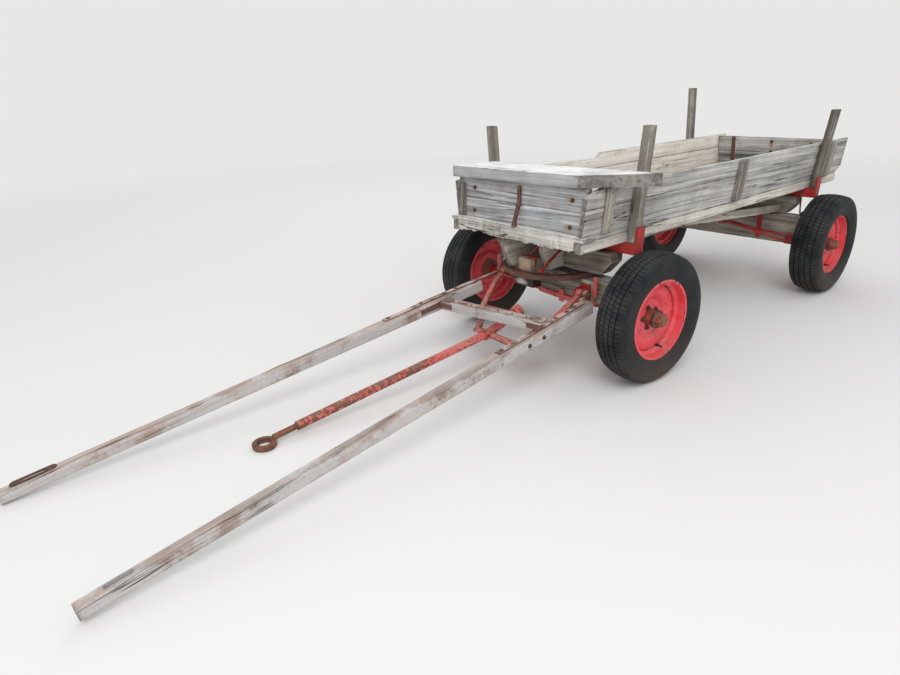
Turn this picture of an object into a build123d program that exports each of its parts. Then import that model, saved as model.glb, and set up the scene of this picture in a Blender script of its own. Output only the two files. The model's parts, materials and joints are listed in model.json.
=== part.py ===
from build123d import *
from math import atan2, cos, degrees, radians, sin, tan
import os

# Hay wagon with horse shafts and a steel drawbar, on car tyres.
# Millimetres, +Z up, length along Y with the shafts at -Y, wagon's left side at +X.
# The origin is on the ground below the middle of the whole wagon.

os.makedirs("parts", exist_ok=True)

# Running gear
wheelbase = 1970
track = 1220  # between the front tyres' middles
rear_track = 1243
rest_turn = -3.8  # degrees that the front gear and drawbar stand turned about the king pin
box_rear_reach = 2530  # from the front axle to the ends of the side boards
shaft_front_reach = 2670  # from the front axle to the tip of the shaft that leads
seat_gap = 0.3  # between curved or slanted pieces that touch
run_gap = 0.05  # radial running clearance of hubs and pins
ring_gap = 0.5

# Tyre and wheel
tyre_radius = 322.5
tyre_width = 165
rear_tyre_width = 190
tyre_wall = 11
bead_radius = 190
flange_radius = 208
rim_width = 136
rim_steel = 4
well_radius = 172
disc_outset = 14
disc_edge_radius = 163
disc_edge_drop = 5
disc_kerf = 12
disc_crown_radius = 124
disc_crown_half = 11
disc_centre_radius = 92
disc_dish = 18
hub_hole_radius = 42
hub_flange_radius = 62
hub_flange_thick = 10
hub_barrel_radius = 38
hub_inner_length = 46
hub_barrel_reach = 38
hub_ring_radius = 41
hub_ring_reach = 46
hub_cap_radius = 34  # over the corners of its hexagon
hub_cap_shoulder = 82
hub_cap_reach = 92
hub_cap_end_radius = 24
spindle_radius = 20
spindle_reach = 24
axle_bar = 48
axle_collar_radius = 32
axle_collar_length = 14

# Box
floor_bottom = 663
rail_height = 53
rail_width = 40
box_half_width = 442
floor_board_thick = 28
floor_board_count = 6
floor_board_gap = 3
side_thick = 27
side_lean = 5
lower_plank_height = 145
upper_plank_height = 93
plank_gap = 0.4
side_front_left_inset = 6  # from the sill's front
side_front_right_inset = 38
side_corner_drop = 36  # at the upper planks' front corners
side_corner_run = 130
side_heel_rise = 45
side_heel_run = 90
rail_rear_inset = 60  # in from the side boards' rear ends
sill_depth = 90
sill_height = 75
sill_end_overhang = 13
sill_front = 375  # ahead of the front axle
rear_sill_depth = 70
tail_inset = 120
board_thick = 26
front_inset = 48
board_seam_drop = 20  # the end boards' seam lies this much below the sides' seam
front_board_drop = 2
tail_board_drop = 6
broken_end = 912  # of the right upper plank, behind the front axle
broken_drop = 32
broken_step = 40
batten_thick = 24
batten_foot_rise = 2
batten_head_drop = 3

# Plank seat
seat_thick = 58
seat_wall = 24
seat_front_left_inset = 44  # in from the side boards' foot
seat_wing_overhang = 218
seat_front_right_overhang = 9
seat_rear_right_inset = 46
seat_front = 359
seat_rear = 106
seat_sag = 0.7  # degrees that the seat falls to the right

# Stakes and the irons that hold them
stake_depth = 48
stake_thick = 46
stake_front_left_rise = 540  # above the floor's underside
stake_front_right_rise = 515
stake_rear_left_rise = 500
stake_rear_right_rise = 649
stake_front_offset = -8  # from the front axle
stake_rear_offset = 92  # from the rear axle
stake_rear_lean = 4
iron_bar = 11
iron_inward = 85  # over the bolster's end
iron_width = 62
iron_body_height = 56
iron_clearance = 3
horn_height = 78
horn_flare = 6

# Bolsters, turntable and reach
bolster_y = -38  # king pin and bolster, behind (+) or ahead (-) of the front axle
bolster_depth = 96
rear_bolster_offset = 60  # from the rear axle
bolster_end_inset = 42  # in from the rails' outer face
bolster_foot_cut = 60
bolster_foot_height = 70
ring_radius = 280
ring_inner_radius = 232
ring_thick = 12
king_pin_radius = 14
reach_width = 80
reach_height = 68
reach_front = 275
reach_tail = 210
sway_thick = 30
sway_offset = 95
sway_front_left = 262
sway_front_right = 345
sway_nose_height = 70
sway_nose_back = 8
sway_toe_back = 60
sway_rise = 8
brace_radius = 9
brace_front_distance = 262
brace_spread = 420
brace_drop = 44  # below the reach
brace_end_drop = 8
brace_toe = 2
brace_pad = 24
brace_pad_thick = 10
brace_foot_in = 22
brace_foot_low = 13
brace_foot_ahead = 26
brace_foot_behind = 12

# Front axle timber and what hangs on it
timber_depth = 118
timber_half_length = 420
rear_timber_half_length = 470
timber_shift = 8  # the front timber sits this much behind the king pin's middle
block_width = 92
block_x = 305
block_depth = 16
block_foot_rise = 4
stub_width = 152
stub_height = 56
stub_depth = 62
stub_reach = 200  # right end of the stub from the middle
stub_rise = 2
king_pin_rise = 20

# Hinge of drawbar and shafts
hinge_y = -142  # from the front axle
hinge_x = 290
hinge_z = 400
pin_radius = 11
lug_thick = 8
lug_radius = 24
lug_space = 38
lug_plate_half_width = 34
lug_plate_half_height = 42
lug_plate_thick = 7
lug_slack = 2
eye_radius = 21
shaft_eye_width = 22
pin_inner_end = 8
pin_outer_end = 12

# Drawbar
yoke_arm_width = 34
yoke_arm_thick = 11
yoke_bend_reach = 240
yoke_front_reach = 372
yoke_drop = 208
yoke_left_bend = 284
yoke_left_end = 262
yoke_right_bend = 200
yoke_right_end = 88
yoke_straight = 70
yoke_eye_overlap = 6
yoke_brace_half_depth = 15
yoke_brace_thick = 12
yoke_brace_overrun = 14
yoke_brace_back = 7
stub_tube_radius = 24
boss_radius = 31
boss_length = 46
boss_back = 182  # from the yoke's front to the boss
boss_rise = 66
tube_radius = 21
tube_front = 1600
tube_front_z = 44
collar_radius = 29
collar_length = 26
tongue_length = 112
tongue_radius = 14
tongue_eye_overlap = 12
eye_outer_radius = 52
eye_bore_radius = 32
eye_thick = 24
eye_edge = 6

# Shafts
shaft_drop = 47  # from the hinge line down to the shafts' middle
shaft_tip_z = 30
shaft_rear_width = 60
shaft_rear_height = 70
shaft_tip_width = 46
shaft_tip_height = 54
shaft_edge = 14
shaft_rear_x = 350
shaft_tip_x = 425
shaft_slip = 95  # how far the right shaft has racked forward
shaft_rear_gap = 46
shaft_slot_length = 88
shaft_slot_width = 20
shaft_slot_back = 130
crossbar_reach = 312
crossbar_depth = 58
crossbar_height = 52
strap_width = 30
strap_thick = 6
strap_length = 470
strap_toe_in = 16
strap_bend_front = 90
strap_bend_rear = 40

# Hook bar on the front board
hook_x = 19
hook_width = 18
hook_thick = 14
hook_drop = 12
hook_bend = 118  # above the sill
hook_reach = 40
hook_toe = 14

# Heights that follow from the sizes above
axle_z = tyre_radius
axle_front_y = (shaft_front_reach - box_rear_reach) / 2
axle_rear_y = axle_front_y + wheelbase
axle_top = axle_z + axle_bar / 2
ring_low = 462
ring_high = ring_low + ring_thick + ring_gap
bolster_low = ring_high + ring_thick
rail_top = floor_bottom + rail_height
sill_top = floor_bottom + sill_height
side_top = rail_top + lower_plank_height + plank_gap + upper_plank_height
box_front = axle_front_y - sill_front
side_rear = axle_front_y + box_rear_reach
box_rear = side_rear - rail_rear_inset
king_y = axle_front_y + bolster_y
lean = tan(radians(side_lean))
bolster_half_length = box_half_width - bolster_end_inset
stake_front_y = axle_front_y + stake_front_offset
stake_rear_y = axle_rear_y + stake_rear_offset
rear_bolster_y = axle_rear_y + rear_bolster_offset
iron_low = floor_bottom - iron_body_height
timber_face = king_y - timber_depth / 2 + timber_shift
hinge_y_abs = axle_front_y + hinge_y


king_axis = Axis((0, king_y, 0), (0, 0, 1))


def write(piece, label, turn=0):
    """Saves one node. What belongs to the front gear is turned about the king pin first."""
    solid = piece.part.rotate(king_axis, turn) if turn else piece.part
    solid.label = label
    export_step(solid, "parts/" + label + ".step")


def block(x0, x1, y0, y1, z0, z1):
    """A squared piece of timber or bar between two corners."""
    with Locations(((x0 + x1) / 2, (y0 + y1) / 2, (z0 + z1) / 2)):
        Box(x1 - x0, y1 - y0, z1 - z0)


def side_x(z):
    """Outer face of the leaning side boards at a height."""
    return box_half_width + (z - rail_top) * lean


def turned(x, y):
    """Where a point of the front gear lies once it is turned about the king pin."""
    return Vector(x, y - king_y).rotate(Axis.Z, rest_turn) + Vector(0, king_y)


# Floor boards, lengthwise between the rails
deck_half = box_half_width - rail_width - seat_gap
board_pitch = 2 * deck_half / floor_board_count
with BuildPart() as floor_boards:
    for number in range(floor_board_count):
        left = -deck_half + number * board_pitch
        block(
            left,
            left + board_pitch - floor_board_gap,
            box_front + sill_depth + seat_gap,
            box_rear - rear_sill_depth - seat_gap,
            floor_bottom,
            floor_bottom + floor_board_thick,
        )
write(floor_boards, "floor_boards")

# Rails along both bottom edges, under the side boards and halved into the sills
with BuildPart() as side_rails:
    for side in (-1, 1):
        edges_x = sorted((side * box_half_width, side * (box_half_width - rail_width)))
        block(*edges_x, box_front, box_rear, floor_bottom, rail_top)
write(side_rails, "side_rails")

# Cross sills at both ends, cut out underneath for the rails
sills = (
    # label, front edge, depth, height, overhang past the rails
    ("front_sill", box_front, sill_depth, sill_height, sill_end_overhang),
    ("rear_sill", box_rear - rear_sill_depth, rear_sill_depth, rail_height, 0),
)
for label, sill_y, depth, height, overhang in sills:
    with BuildPart() as sill:
        half = box_half_width + overhang
        if overhang:
            block(-half, half, sill_y, sill_y + depth, floor_bottom, floor_bottom + height)
            with BuildSketch(Plane.XY.offset(floor_bottom)):
                for side in (-1, 1):
                    inner = box_half_width - rail_width
                    with Locations((side * (inner + half) / 2, sill_y + depth / 2)):
                        Rectangle(half - inner + 2, depth + 2)
            extrude(amount=rail_height, mode=Mode.SUBTRACT)
        else:
            half = box_half_width - rail_width
            block(-half, half, sill_y, sill_y + depth, floor_bottom, floor_bottom + height)
    write(sill, label)

# Side boards: two planks a side, leaning out, notched over the front sill, their lower
# rear corners sawn off. The right side's upper plank is worn low under the seat and
# broken away behind it.
lower_top = rail_top + lower_plank_height
upper_low = lower_top + plank_gap
seat_slope = tan(radians(seat_sag))
seat_pivot = side_x(side_top) - side_thick
seat_fall = seat_slope * (2 * seat_pivot + side_thick)
seat_y0 = axle_front_y - seat_front
seat_y1 = axle_front_y - seat_rear
gap_end = axle_front_y + broken_end
left_front = box_front + side_front_left_inset
right_front = box_front + side_front_right_inset
left_gone = (
    (left_front - 1, side_top + 1),
    (left_front - 1, side_top - side_corner_drop),
    (left_front + side_corner_run, side_top + 1),
)
right_gone = (
    (right_front - 1, side_top + 1),
    (right_front - 1, side_top - side_corner_drop),
    (right_front + side_corner_run, side_top - seat_fall),
    (seat_y1, side_top - seat_fall),
    (gap_end - broken_step, side_top - broken_drop),
    (gap_end, side_top + 1),
)
sides = (
    # label, side, front end, missing part of the top edge
    ("side_boards_left", 1, left_front, left_gone),
    ("side_boards_right", -1, right_front, right_gone),
)
for label, side, side_front, gone in sides:
    with BuildPart() as boards:
        for low, high in ((rail_top, lower_top), (upper_low, side_top)):
            with BuildSketch(Plane.XZ.offset(-side_front)):
                with BuildLine():
                    Polyline(
                        (side * side_x(low), low),
                        (side * side_x(high), high),
                        (side * (side_x(high) - side_thick), high),
                        (side * (side_x(low) - side_thick), low),
                        close=True,
                    )
                make_face()
            extrude(amount=-(side_rear - side_front))
        notch_end = box_front + sill_depth + seat_gap
        with BuildSketch(Plane.YZ.offset(-2 * box_half_width)):
            with BuildLine():
                Polyline(
                    (side_front - 1, rail_top - 1),
                    (notch_end, rail_top - 1),
                    (notch_end, sill_top + seat_gap),
                    (side_front - 1, sill_top + seat_gap),
                    close=True,
                )
            make_face()
            with BuildLine():
                Polyline(*gone, close=True)
            make_face()
            with BuildLine():
                Polyline(
                    (side_rear - side_heel_run, rail_top - 1),
                    (side_rear + 1, rail_top - 1),
                    (side_rear + 1, rail_top + side_heel_rise),
                    close=True,
                )
            make_face()
        extrude(amount=4 * box_half_width, mode=Mode.SUBTRACT)
    write(boards, label)

# Front and tail boards between the sides: two planks each, ends cut to the lean,
# the front board's top following the seat
ends = (
    # label, front face, foot, top, drop of the top to the right
    ("front_board", box_front + front_inset, sill_top, side_top - front_board_drop, seat_fall),
    ("tail_board", side_rear - tail_inset, rail_top, side_top - tail_board_drop, 0),
)
seam = lower_top - board_seam_drop
for label, face_y, foot, top, top_drop in ends:
    with BuildPart() as boards:
        for low, high, drop in ((foot, seam, 0), (seam + plank_gap, top, top_drop)):
            reach_low = side_x(low) - side_thick - seat_gap
            reach_high = side_x(high) - side_thick - seat_gap
            reach_right = side_x(high - drop) - side_thick - seat_gap
            with BuildSketch(Plane.XZ.offset(-face_y)):
                with BuildLine():
                    Polyline(
                        (-reach_low, low),
                        (reach_low, low),
                        (reach_high, high),
                        (-reach_right, high - drop),
                        close=True,
                    )
                make_face()
            extrude(amount=-board_thick)
    write(boards, label)

# Upright battens on the outside of the side boards
batten_rows = (
    # distance behind the front axle, width
    (-212, 56),
    (1010, 84),
    (2262, 60),
)
with BuildPart() as battens:
    for side in (-1, 1):
        for behind, width in batten_rows:
            batten_y = axle_front_y + behind
            foot = sill_top + seat_gap if behind < 0 else rail_top + batten_foot_rise
            head = side_top - batten_head_drop
            inner_low = side_x(foot) + seat_gap
            inner_high = side_x(head) + seat_gap
            with BuildSketch(Plane.XZ.offset(-(batten_y - width / 2))):
                with BuildLine():
                    Polyline(
                        (side * inner_low, foot),
                        (side * inner_high, head),
                        (side * (inner_high + batten_thick), head),
                        (side * (inner_low + batten_thick), foot),
                        close=True,
                    )
                make_face()
            extrude(amount=-width)
write(battens, "side_battens")

# Plank seat across the front: a shallow lid, its left end cut on the slant
seat_plane = Plane(
    origin=(seat_pivot, 0, side_top + seat_gap), x_dir=(1, 0, seat_slope), z_dir=(-seat_slope, 0, 1)
)
with BuildPart() as seat:
    with BuildSketch(seat_plane) as seat_outline:
        with BuildLine():
            Polyline(
                (-(seat_pivot + box_half_width + seat_front_right_overhang), seat_y0),
                (box_half_width - seat_pivot - seat_front_left_inset, seat_y0),
                (box_half_width - seat_pivot + seat_wing_overhang, seat_y1),
                (-(seat_pivot + box_half_width - seat_rear_right_inset), seat_y1),
                close=True,
            )
        make_face()
    extrude(amount=seat_thick)
    with BuildSketch(seat_plane):
        offset(seat_outline.sketch_local, -seat_wall, kind=Kind.INTERSECTION)
    extrude(amount=seat_thick - seat_wall, mode=Mode.SUBTRACT)
write(seat, "plank_seat")

# Stakes: leaning posts outside the side boards, each its own length
stake_foot = floor_bottom + seat_gap
stake_rows = (
    # label, side, position, rise, lean to the rear in degrees
    ("stake_front_left", 1, stake_front_y, stake_front_left_rise, 0),
    ("stake_front_right", -1, stake_front_y, stake_front_right_rise, 0),
    ("stake_rear_left", 1, stake_rear_y, stake_rear_left_rise, stake_rear_lean),
    ("stake_rear_right", -1, stake_rear_y, stake_rear_right_rise, stake_rear_lean),
)
for label, side, stake_y, rise, back in stake_rows:
    with BuildPart() as stake:
        top = floor_bottom + rise
        inner_low = box_half_width + seat_gap
        inner_high = inner_low + (top - stake_foot) * lean
        rear_shift = (top - stake_foot) * tan(radians(back))
        with BuildSketch(Plane.XY.offset(stake_foot)):
            with Locations((side * (inner_low + stake_thick / 2), stake_y)):
                Rectangle(stake_thick, stake_depth)
        with BuildSketch(Plane.XY.offset(top)):
            with Locations((side * (inner_high + stake_thick / 2), stake_y + rear_shift)):
                Rectangle(stake_thick, stake_depth)
        loft()
    write(stake, label)

# Bolster irons: a body under the rail, let into the bolster's end, and a horn outside the stake
iron_in = bolster_half_length - iron_inward
horn_in = box_half_width + stake_thick + 2 * seat_gap + iron_clearance
with BuildPart() as irons:
    for place in (stake_front_y, rear_bolster_y):
        for side in (-1, 1):
            with BuildSketch(Plane.XZ.offset(-(place - iron_width / 2))):
                with BuildLine():
                    Polyline(
                        (side * iron_in, floor_bottom),
                        (side * iron_in, iron_low),
                        (side * (horn_in + iron_bar), iron_low),
                        (side * (horn_in + iron_bar + horn_flare), floor_bottom + horn_height),
                        (side * (horn_in + horn_flare), floor_bottom + horn_height),
                        (side * horn_in, floor_bottom),
                        close=True,
                    )
                make_face()
            extrude(amount=-iron_width)
write(irons, "bolster_irons")

# Bolsters across the wagon, notched over the reach, feet cut away on the slant and
# ends cut down for the irons
bolster_foot = bolster_half_length - bolster_foot_cut
bolsters = (
    # label, position
    ("front_bolster", king_y),
    ("rear_bolster", rear_bolster_y),
)
low = bolster_low
for label, place in bolsters:
    with BuildPart() as bolster:
        with BuildSketch(Plane.XZ.offset(-(place - bolster_depth / 2))):
            with BuildLine():
                Polyline(
                    (-bolster_foot, low),
                    (bolster_foot, low),
                    (bolster_half_length, low + bolster_foot_height),
                    (bolster_half_length, iron_low - seat_gap),
                    (iron_in - seat_gap, iron_low - seat_gap),
                    (iron_in - seat_gap, floor_bottom),
                    (-(iron_in - seat_gap), floor_bottom),
                    (-(iron_in - seat_gap), iron_low - seat_gap),
                    (-bolster_half_length, iron_low - seat_gap),
                    (-bolster_half_length, low + bolster_foot_height),
                    close=True,
                )
            make_face()
            with Locations((0, low + (reach_height + seat_gap) / 2)):
                Rectangle(reach_width + 2 * seat_gap, reach_height + seat_gap, mode=Mode.SUBTRACT)
        extrude(amount=-bolster_depth)
    write(bolster, label)

# Sway boards: two short boards ahead of the front bolster, under the floor
with BuildPart() as sway_boards:
    for side, front in ((1, sway_front_left), (-1, sway_front_right)):
        nose_y = axle_front_y - front
        x0, x1 = sorted((side * (sway_offset - sway_thick / 2), side * (sway_offset + sway_thick / 2)))
        with BuildSketch(Plane.YZ.offset(x0)):
            with BuildLine():
                Polyline(
                    (king_y - bolster_depth / 2, bolster_low + sway_rise),
                    (king_y - bolster_depth / 2, floor_bottom),
                    (nose_y, floor_bottom),
                    (nose_y + sway_nose_back, floor_bottom - sway_nose_height),
                    (nose_y + sway_toe_back, bolster_low + sway_rise),
                    close=True,
                )
            make_face()
        extrude(amount=x1 - x0)
write(sway_boards, "sway_boards")

# Reach: the pole that joins the front and rear gear, bored for the king pin
reach_y0 = axle_front_y - reach_front
reach_y1 = axle_rear_y + reach_tail
with BuildPart() as reach:
    block(-reach_width / 2, reach_width / 2, reach_y0, reach_y1, bolster_low, bolster_low + reach_height)
    with Locations((0, king_y, bolster_low + reach_height)):
        Hole(king_pin_radius + seat_gap)
write(reach, "reach_pole")

# Upper turntable ring under the front bolster
with BuildPart() as upper_ring:
    with BuildSketch(Plane.XY.offset(ring_high)):
        with Locations((0, king_y)):
            Circle(ring_radius)
            Circle(ring_inner_radius, mode=Mode.SUBTRACT)
    extrude(amount=ring_thick)
write(upper_ring, "upper_turntable_ring")

# Braces from clamps under the reach back to the rear timber's front face
rear_timber_y0 = axle_rear_y - timber_depth / 2
brace_x = reach_width / 2 + brace_radius + brace_toe
brace_y = axle_rear_y - brace_front_distance
brace_z = bolster_low - brace_drop
pad_y = rear_timber_y0 - brace_pad_thick
with BuildPart() as braces:
    for side in (-1, 1):
        start = Vector(side * brace_x, brace_y, brace_z)
        stop = Vector(side * brace_spread, pad_y, axle_z - brace_end_drop)
        with BuildSketch(Plane(origin=start, z_dir=stop - start)):
            Circle(brace_radius)
        extrude(amount=(stop - start).length)
        foot_x = sorted((side * brace_foot_in, side * (brace_x + brace_radius + brace_toe)))
        foot_y = (brace_y - brace_foot_ahead, brace_y + brace_foot_behind)
        block(*foot_x, *foot_y, brace_z - brace_foot_low, bolster_low)
        pad_x = sorted((side * (brace_spread - brace_pad), side * (brace_spread + brace_pad)))
        block(*pad_x, pad_y, pad_y + brace_pad_thick, axle_z - brace_pad, axle_z + brace_pad)
write(braces, "rear_braces")

# Axle timbers: the front one lies on its iron axle, the rear one is let down over it
axle_foot = axle_z - axle_bar / 2
timbers = (
    # label, front face, foot, top, half length, turn
    ("front_axle_timber", timber_face, axle_top, ring_low, timber_half_length, rest_turn),
    ("rear_axle_timber", rear_timber_y0, axle_foot, bolster_low, rear_timber_half_length, 0),
)
for label, face_y, foot, top, half, turn in timbers:
    with BuildPart() as timber:
        block(-half, half, face_y, face_y + timber_depth, foot, top)
        if label == "front_axle_timber":
            with Locations((0, king_y, top)):
                Hole(king_pin_radius + run_gap)
        else:
            slot_half = axle_bar / 2 + seat_gap
            with BuildSketch(Plane.YZ.offset(-half)):
                with Locations((axle_rear_y, (foot + axle_top) / 2)):
                    Rectangle(2 * slot_half, axle_top - foot)
            extrude(amount=2 * half, mode=Mode.SUBTRACT)
    write(timber, label, turn)

# Lower turntable ring on the front axle timber
with BuildPart() as lower_ring:
    with BuildSketch(Plane.XY.offset(ring_low)):
        with Locations((0, king_y)):
            Circle(ring_radius)
            Circle(ring_inner_radius, mode=Mode.SUBTRACT)
    extrude(amount=ring_thick)
write(lower_ring, "lower_turntable_ring", rest_turn)

# King pin through bolster notch, reach and axle timber
king_top = bolster_low + reach_height
with BuildPart() as king_pin:
    with BuildSketch(Plane.XY.offset(axle_top + king_pin_rise)):
        with Locations((0, king_y)):
            Circle(king_pin_radius)
    extrude(amount=king_top - axle_top - king_pin_rise)
write(king_pin, "king_pin")

# Iron axles: a square bar with turned spindles
axles = (
    # label, position, distance between the wheels, turn
    ("front_axle", axle_front_y, track, rest_turn),
    ("rear_axle", axle_rear_y, rear_track, 0),
)
for label, place, wheel_gap, turn in axles:
    with BuildPart() as axle:
        bar_half = wheel_gap / 2 - hub_inner_length - seat_gap - axle_collar_length
        block(
            -bar_half, bar_half, place - axle_bar / 2, place + axle_bar / 2, axle_z - axle_bar / 2, axle_top
        )
        for side in (-1, 1):
            outward = Plane(origin=(side * bar_half, place, axle_z), z_dir=(side, 0, 0))
            with BuildSketch(outward):
                Circle(axle_collar_radius)
            extrude(amount=axle_collar_length)
            with BuildSketch(outward):
                Circle(spindle_radius)
            extrude(amount=wheel_gap / 2 + spindle_reach - bar_half)
    write(axle, label, turn)

# Wheels: tyre, steel rim with its dished disc, and hub
wheel_rows = (
    # name, side, axle position, distance between the wheels, tyre width, turn
    ("front_left", 1, axle_front_y, track, tyre_width, rest_turn),
    ("front_right", -1, axle_front_y, track, tyre_width, rest_turn),
    ("rear_left", 1, axle_rear_y, rear_track, rear_tyre_width, 0),
    ("rear_right", -1, axle_rear_y, rear_track, rear_tyre_width, 0),
)
half_rim = rim_width / 2
for name, side, place, wheel_gap, width, turn in wheel_rows:
    wheel_plane = Plane(origin=(side * wheel_gap / 2, place, axle_z), x_dir=(side, 0, 0), z_dir=(0, -1, 0))
    wheel_axis = Axis(wheel_plane.origin, wheel_plane.x_dir)
    half_tyre = width / 2

    # Tyre section: crown, shoulders and bulged walls round a hollow
    bead_out = half_rim - rim_steel - seat_gap
    tread_half = half_tyre - 17
    shoulder = tyre_radius - 7
    bulge = (tyre_radius + bead_radius) / 2
    with BuildPart() as tyre:
        with BuildSketch(wheel_plane):
            with BuildLine():
                crown = ThreePointArc((-tread_half, shoulder), (0, tyre_radius), (tread_half, shoulder))
                ThreePointArc(crown @ 1, (half_tyre, bulge), (bead_out, flange_radius))
                Line((bead_out, flange_radius), (bead_out, bead_radius + seat_gap))
                Line((bead_out, bead_radius + seat_gap), (bead_out - 14, bead_radius + seat_gap))
                inner_foot = (bead_out - 14, flange_radius + 6)
                Line((bead_out - 14, bead_radius + seat_gap), inner_foot)
                inner_crown = tyre_radius - tyre_wall - 6
                ThreePointArc(inner_foot, (half_tyre - tyre_wall, bulge), (tread_half - 8, inner_crown - 6))
                ThreePointArc(
                    (tread_half - 8, inner_crown - 6), (0, inner_crown), (-(tread_half - 8), inner_crown - 6)
                )
                ThreePointArc(
                    (-(tread_half - 8), inner_crown - 6),
                    (-(half_tyre - tyre_wall), bulge),
                    (-inner_foot[0], inner_foot[1]),
                )
                Line((-inner_foot[0], inner_foot[1]), (-(bead_out - 14), bead_radius + seat_gap))
                Line((-(bead_out - 14), bead_radius + seat_gap), (-bead_out, bead_radius + seat_gap))
                Line((-bead_out, bead_radius + seat_gap), (-bead_out, flange_radius))
                ThreePointArc((-bead_out, flange_radius), (-half_tyre, bulge), crown @ 0)
            make_face()
        revolve(axis=wheel_axis)
    write(tyre, "tyre_" + name, turn)

    # Rim section: flanges, bead seats and drop well, then the pressed disc
    seat = bead_radius
    with BuildPart() as rim:
        with BuildSketch(wheel_plane):
            with BuildLine():
                Polyline(
                    (-half_rim, flange_radius),
                    (-half_rim + rim_steel, flange_radius),
                    (-half_rim + rim_steel, seat),
                    (-38, seat),
                    (-30, well_radius),
                    (14, well_radius),
                    (24, seat),
                    (half_rim - rim_steel, seat),
                    (half_rim - rim_steel, flange_radius),
                    (half_rim, flange_radius),
                    (half_rim, seat - rim_steel),
                    (27, seat - rim_steel),
                    (17, well_radius - rim_steel),
                    (-33, well_radius - rim_steel),
                    (-41, seat - rim_steel),
                    (-half_rim, seat - rim_steel),
                    close=True,
                )
            make_face()
            with BuildLine():
                Polyline(
                    (disc_outset - disc_kerf, well_radius - 1),
                    (disc_outset - disc_kerf, disc_edge_radius + 3),
                    (disc_outset - disc_edge_drop, disc_edge_radius),
                    (disc_outset, disc_crown_radius + disc_crown_half),
                    (disc_outset, disc_crown_radius - disc_crown_half),
                    (disc_outset - disc_dish, disc_centre_radius),
                    (disc_outset - disc_dish, hub_hole_radius),
                    (disc_outset - disc_dish - rim_steel, hub_hole_radius),
                    (disc_outset - disc_dish - rim_steel, disc_centre_radius + 2),
                    (disc_outset - rim_steel, disc_crown_radius - disc_crown_half + 2),
                    (disc_outset - rim_steel, disc_crown_radius + disc_crown_half - 2),
                    (disc_outset - disc_edge_drop - rim_steel, disc_edge_radius - 4),
                    (disc_outset - disc_kerf - rim_steel, disc_edge_radius - 1),
                    (disc_outset - disc_kerf - rim_steel, well_radius - 1),
                    close=True,
                )
            make_face()
        revolve(axis=wheel_axis)
    write(rim, "rim_" + name, turn)

    # Hub: flange behind the disc, barrel through it, a ring and a six-sided cap
    flange_face = disc_outset - disc_dish - rim_steel
    bore = spindle_radius + run_gap
    bore_end = spindle_reach + seat_gap
    with BuildPart() as hub:
        with BuildSketch(wheel_plane):
            with BuildLine():
                Polyline(
                    (-hub_inner_length, bore),
                    (-hub_inner_length, hub_barrel_radius),
                    (flange_face - hub_flange_thick, hub_barrel_radius),
                    (flange_face - hub_flange_thick, hub_flange_radius),
                    (flange_face, hub_flange_radius),
                    (flange_face, hub_barrel_radius),
                    (hub_barrel_reach, hub_barrel_radius),
                    (hub_barrel_reach, hub_ring_radius),
                    (hub_ring_reach, hub_ring_radius),
                    (hub_ring_reach, hub_cap_end_radius),
                    (hub_cap_reach, hub_cap_end_radius),
                    (hub_cap_reach, 0),
                    (bore_end, 0),
                    (bore_end, bore),
                    close=True,
                )
            make_face()
        revolve(axis=wheel_axis)
        cap_start = wheel_plane.from_local_coords((hub_ring_reach, 0, 0))
        with BuildSketch(Plane(origin=cap_start, x_dir=(0, 1, 0), z_dir=(side, 0, 0))):
            RegularPolygon(hub_cap_radius, 6)
        extrude(amount=hub_cap_shoulder - hub_ring_reach)
    write(hub, "hub_" + name, turn)

# Blocks on the front of the axle timber, with the hinge lugs and their pins
block_low = axle_top + block_foot_rise
with BuildPart() as hinge_blocks:
    for side in (-1, 1):
        x0, x1 = sorted((side * (block_x - block_width / 2), side * (block_x + block_width / 2)))
        block(x0, x1, timber_face - block_depth, timber_face, block_low, ring_low)
write(hinge_blocks, "hinge_blocks", rest_turn)

lug_back = timber_face - block_depth
lug_pitch = lug_space + lug_thick
with BuildPart() as lugs:
    for side in (-1, 1):
        plate_x = sorted((side * (hinge_x - lug_plate_half_width), side * (hinge_x + lug_plate_half_width)))
        plate_low = hinge_z - lug_plate_half_height
        plate_high = hinge_z + lug_plate_half_height
        block(*plate_x, lug_back - lug_plate_thick, lug_back, plate_low, plate_high)
        for step in (-0.5, 0.5):
            lug_x = side * hinge_x + step * lug_pitch
            with BuildSketch(Plane.YZ.offset(lug_x - lug_thick / 2)):
                with Locations((hinge_y_abs, hinge_z)):
                    Circle(lug_radius)
                with Locations(((hinge_y_abs + lug_back - lug_plate_thick) / 2, hinge_z)):
                    Rectangle(lug_back - lug_plate_thick - hinge_y_abs + 1, 2 * lug_radius)
                with Locations((hinge_y_abs, hinge_z)):
                    Circle(pin_radius + run_gap, mode=Mode.SUBTRACT)
            extrude(amount=lug_thick)
write(lugs, "hinge_lugs", rest_turn)

lug_outer = hinge_x + lug_pitch / 2 + lug_thick / 2
pin_inner = hinge_x - lug_pitch / 2 - lug_thick / 2 - pin_inner_end
pin_outer = lug_outer + shaft_eye_width + pin_outer_end
with BuildPart() as pins:
    for side in (-1, 1):
        low_x = min(side * pin_inner, side * pin_outer)
        with BuildSketch(Plane.YZ.offset(low_x)):
            with Locations((hinge_y_abs, hinge_z)):
                Circle(pin_radius)
        extrude(amount=pin_outer - pin_inner)
write(pins, "hinge_pins", rest_turn)

# Sawn-off tongue stub, left on the front of the axle timber
with BuildPart() as tongue_stub:
    stub_low = axle_top + stub_rise
    stub_front = timber_face - stub_depth
    block(-stub_reach, stub_width - stub_reach, stub_front, timber_face, stub_low, stub_low + stub_height)
write(tongue_stub, "tongue_stub", rest_turn)

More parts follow.
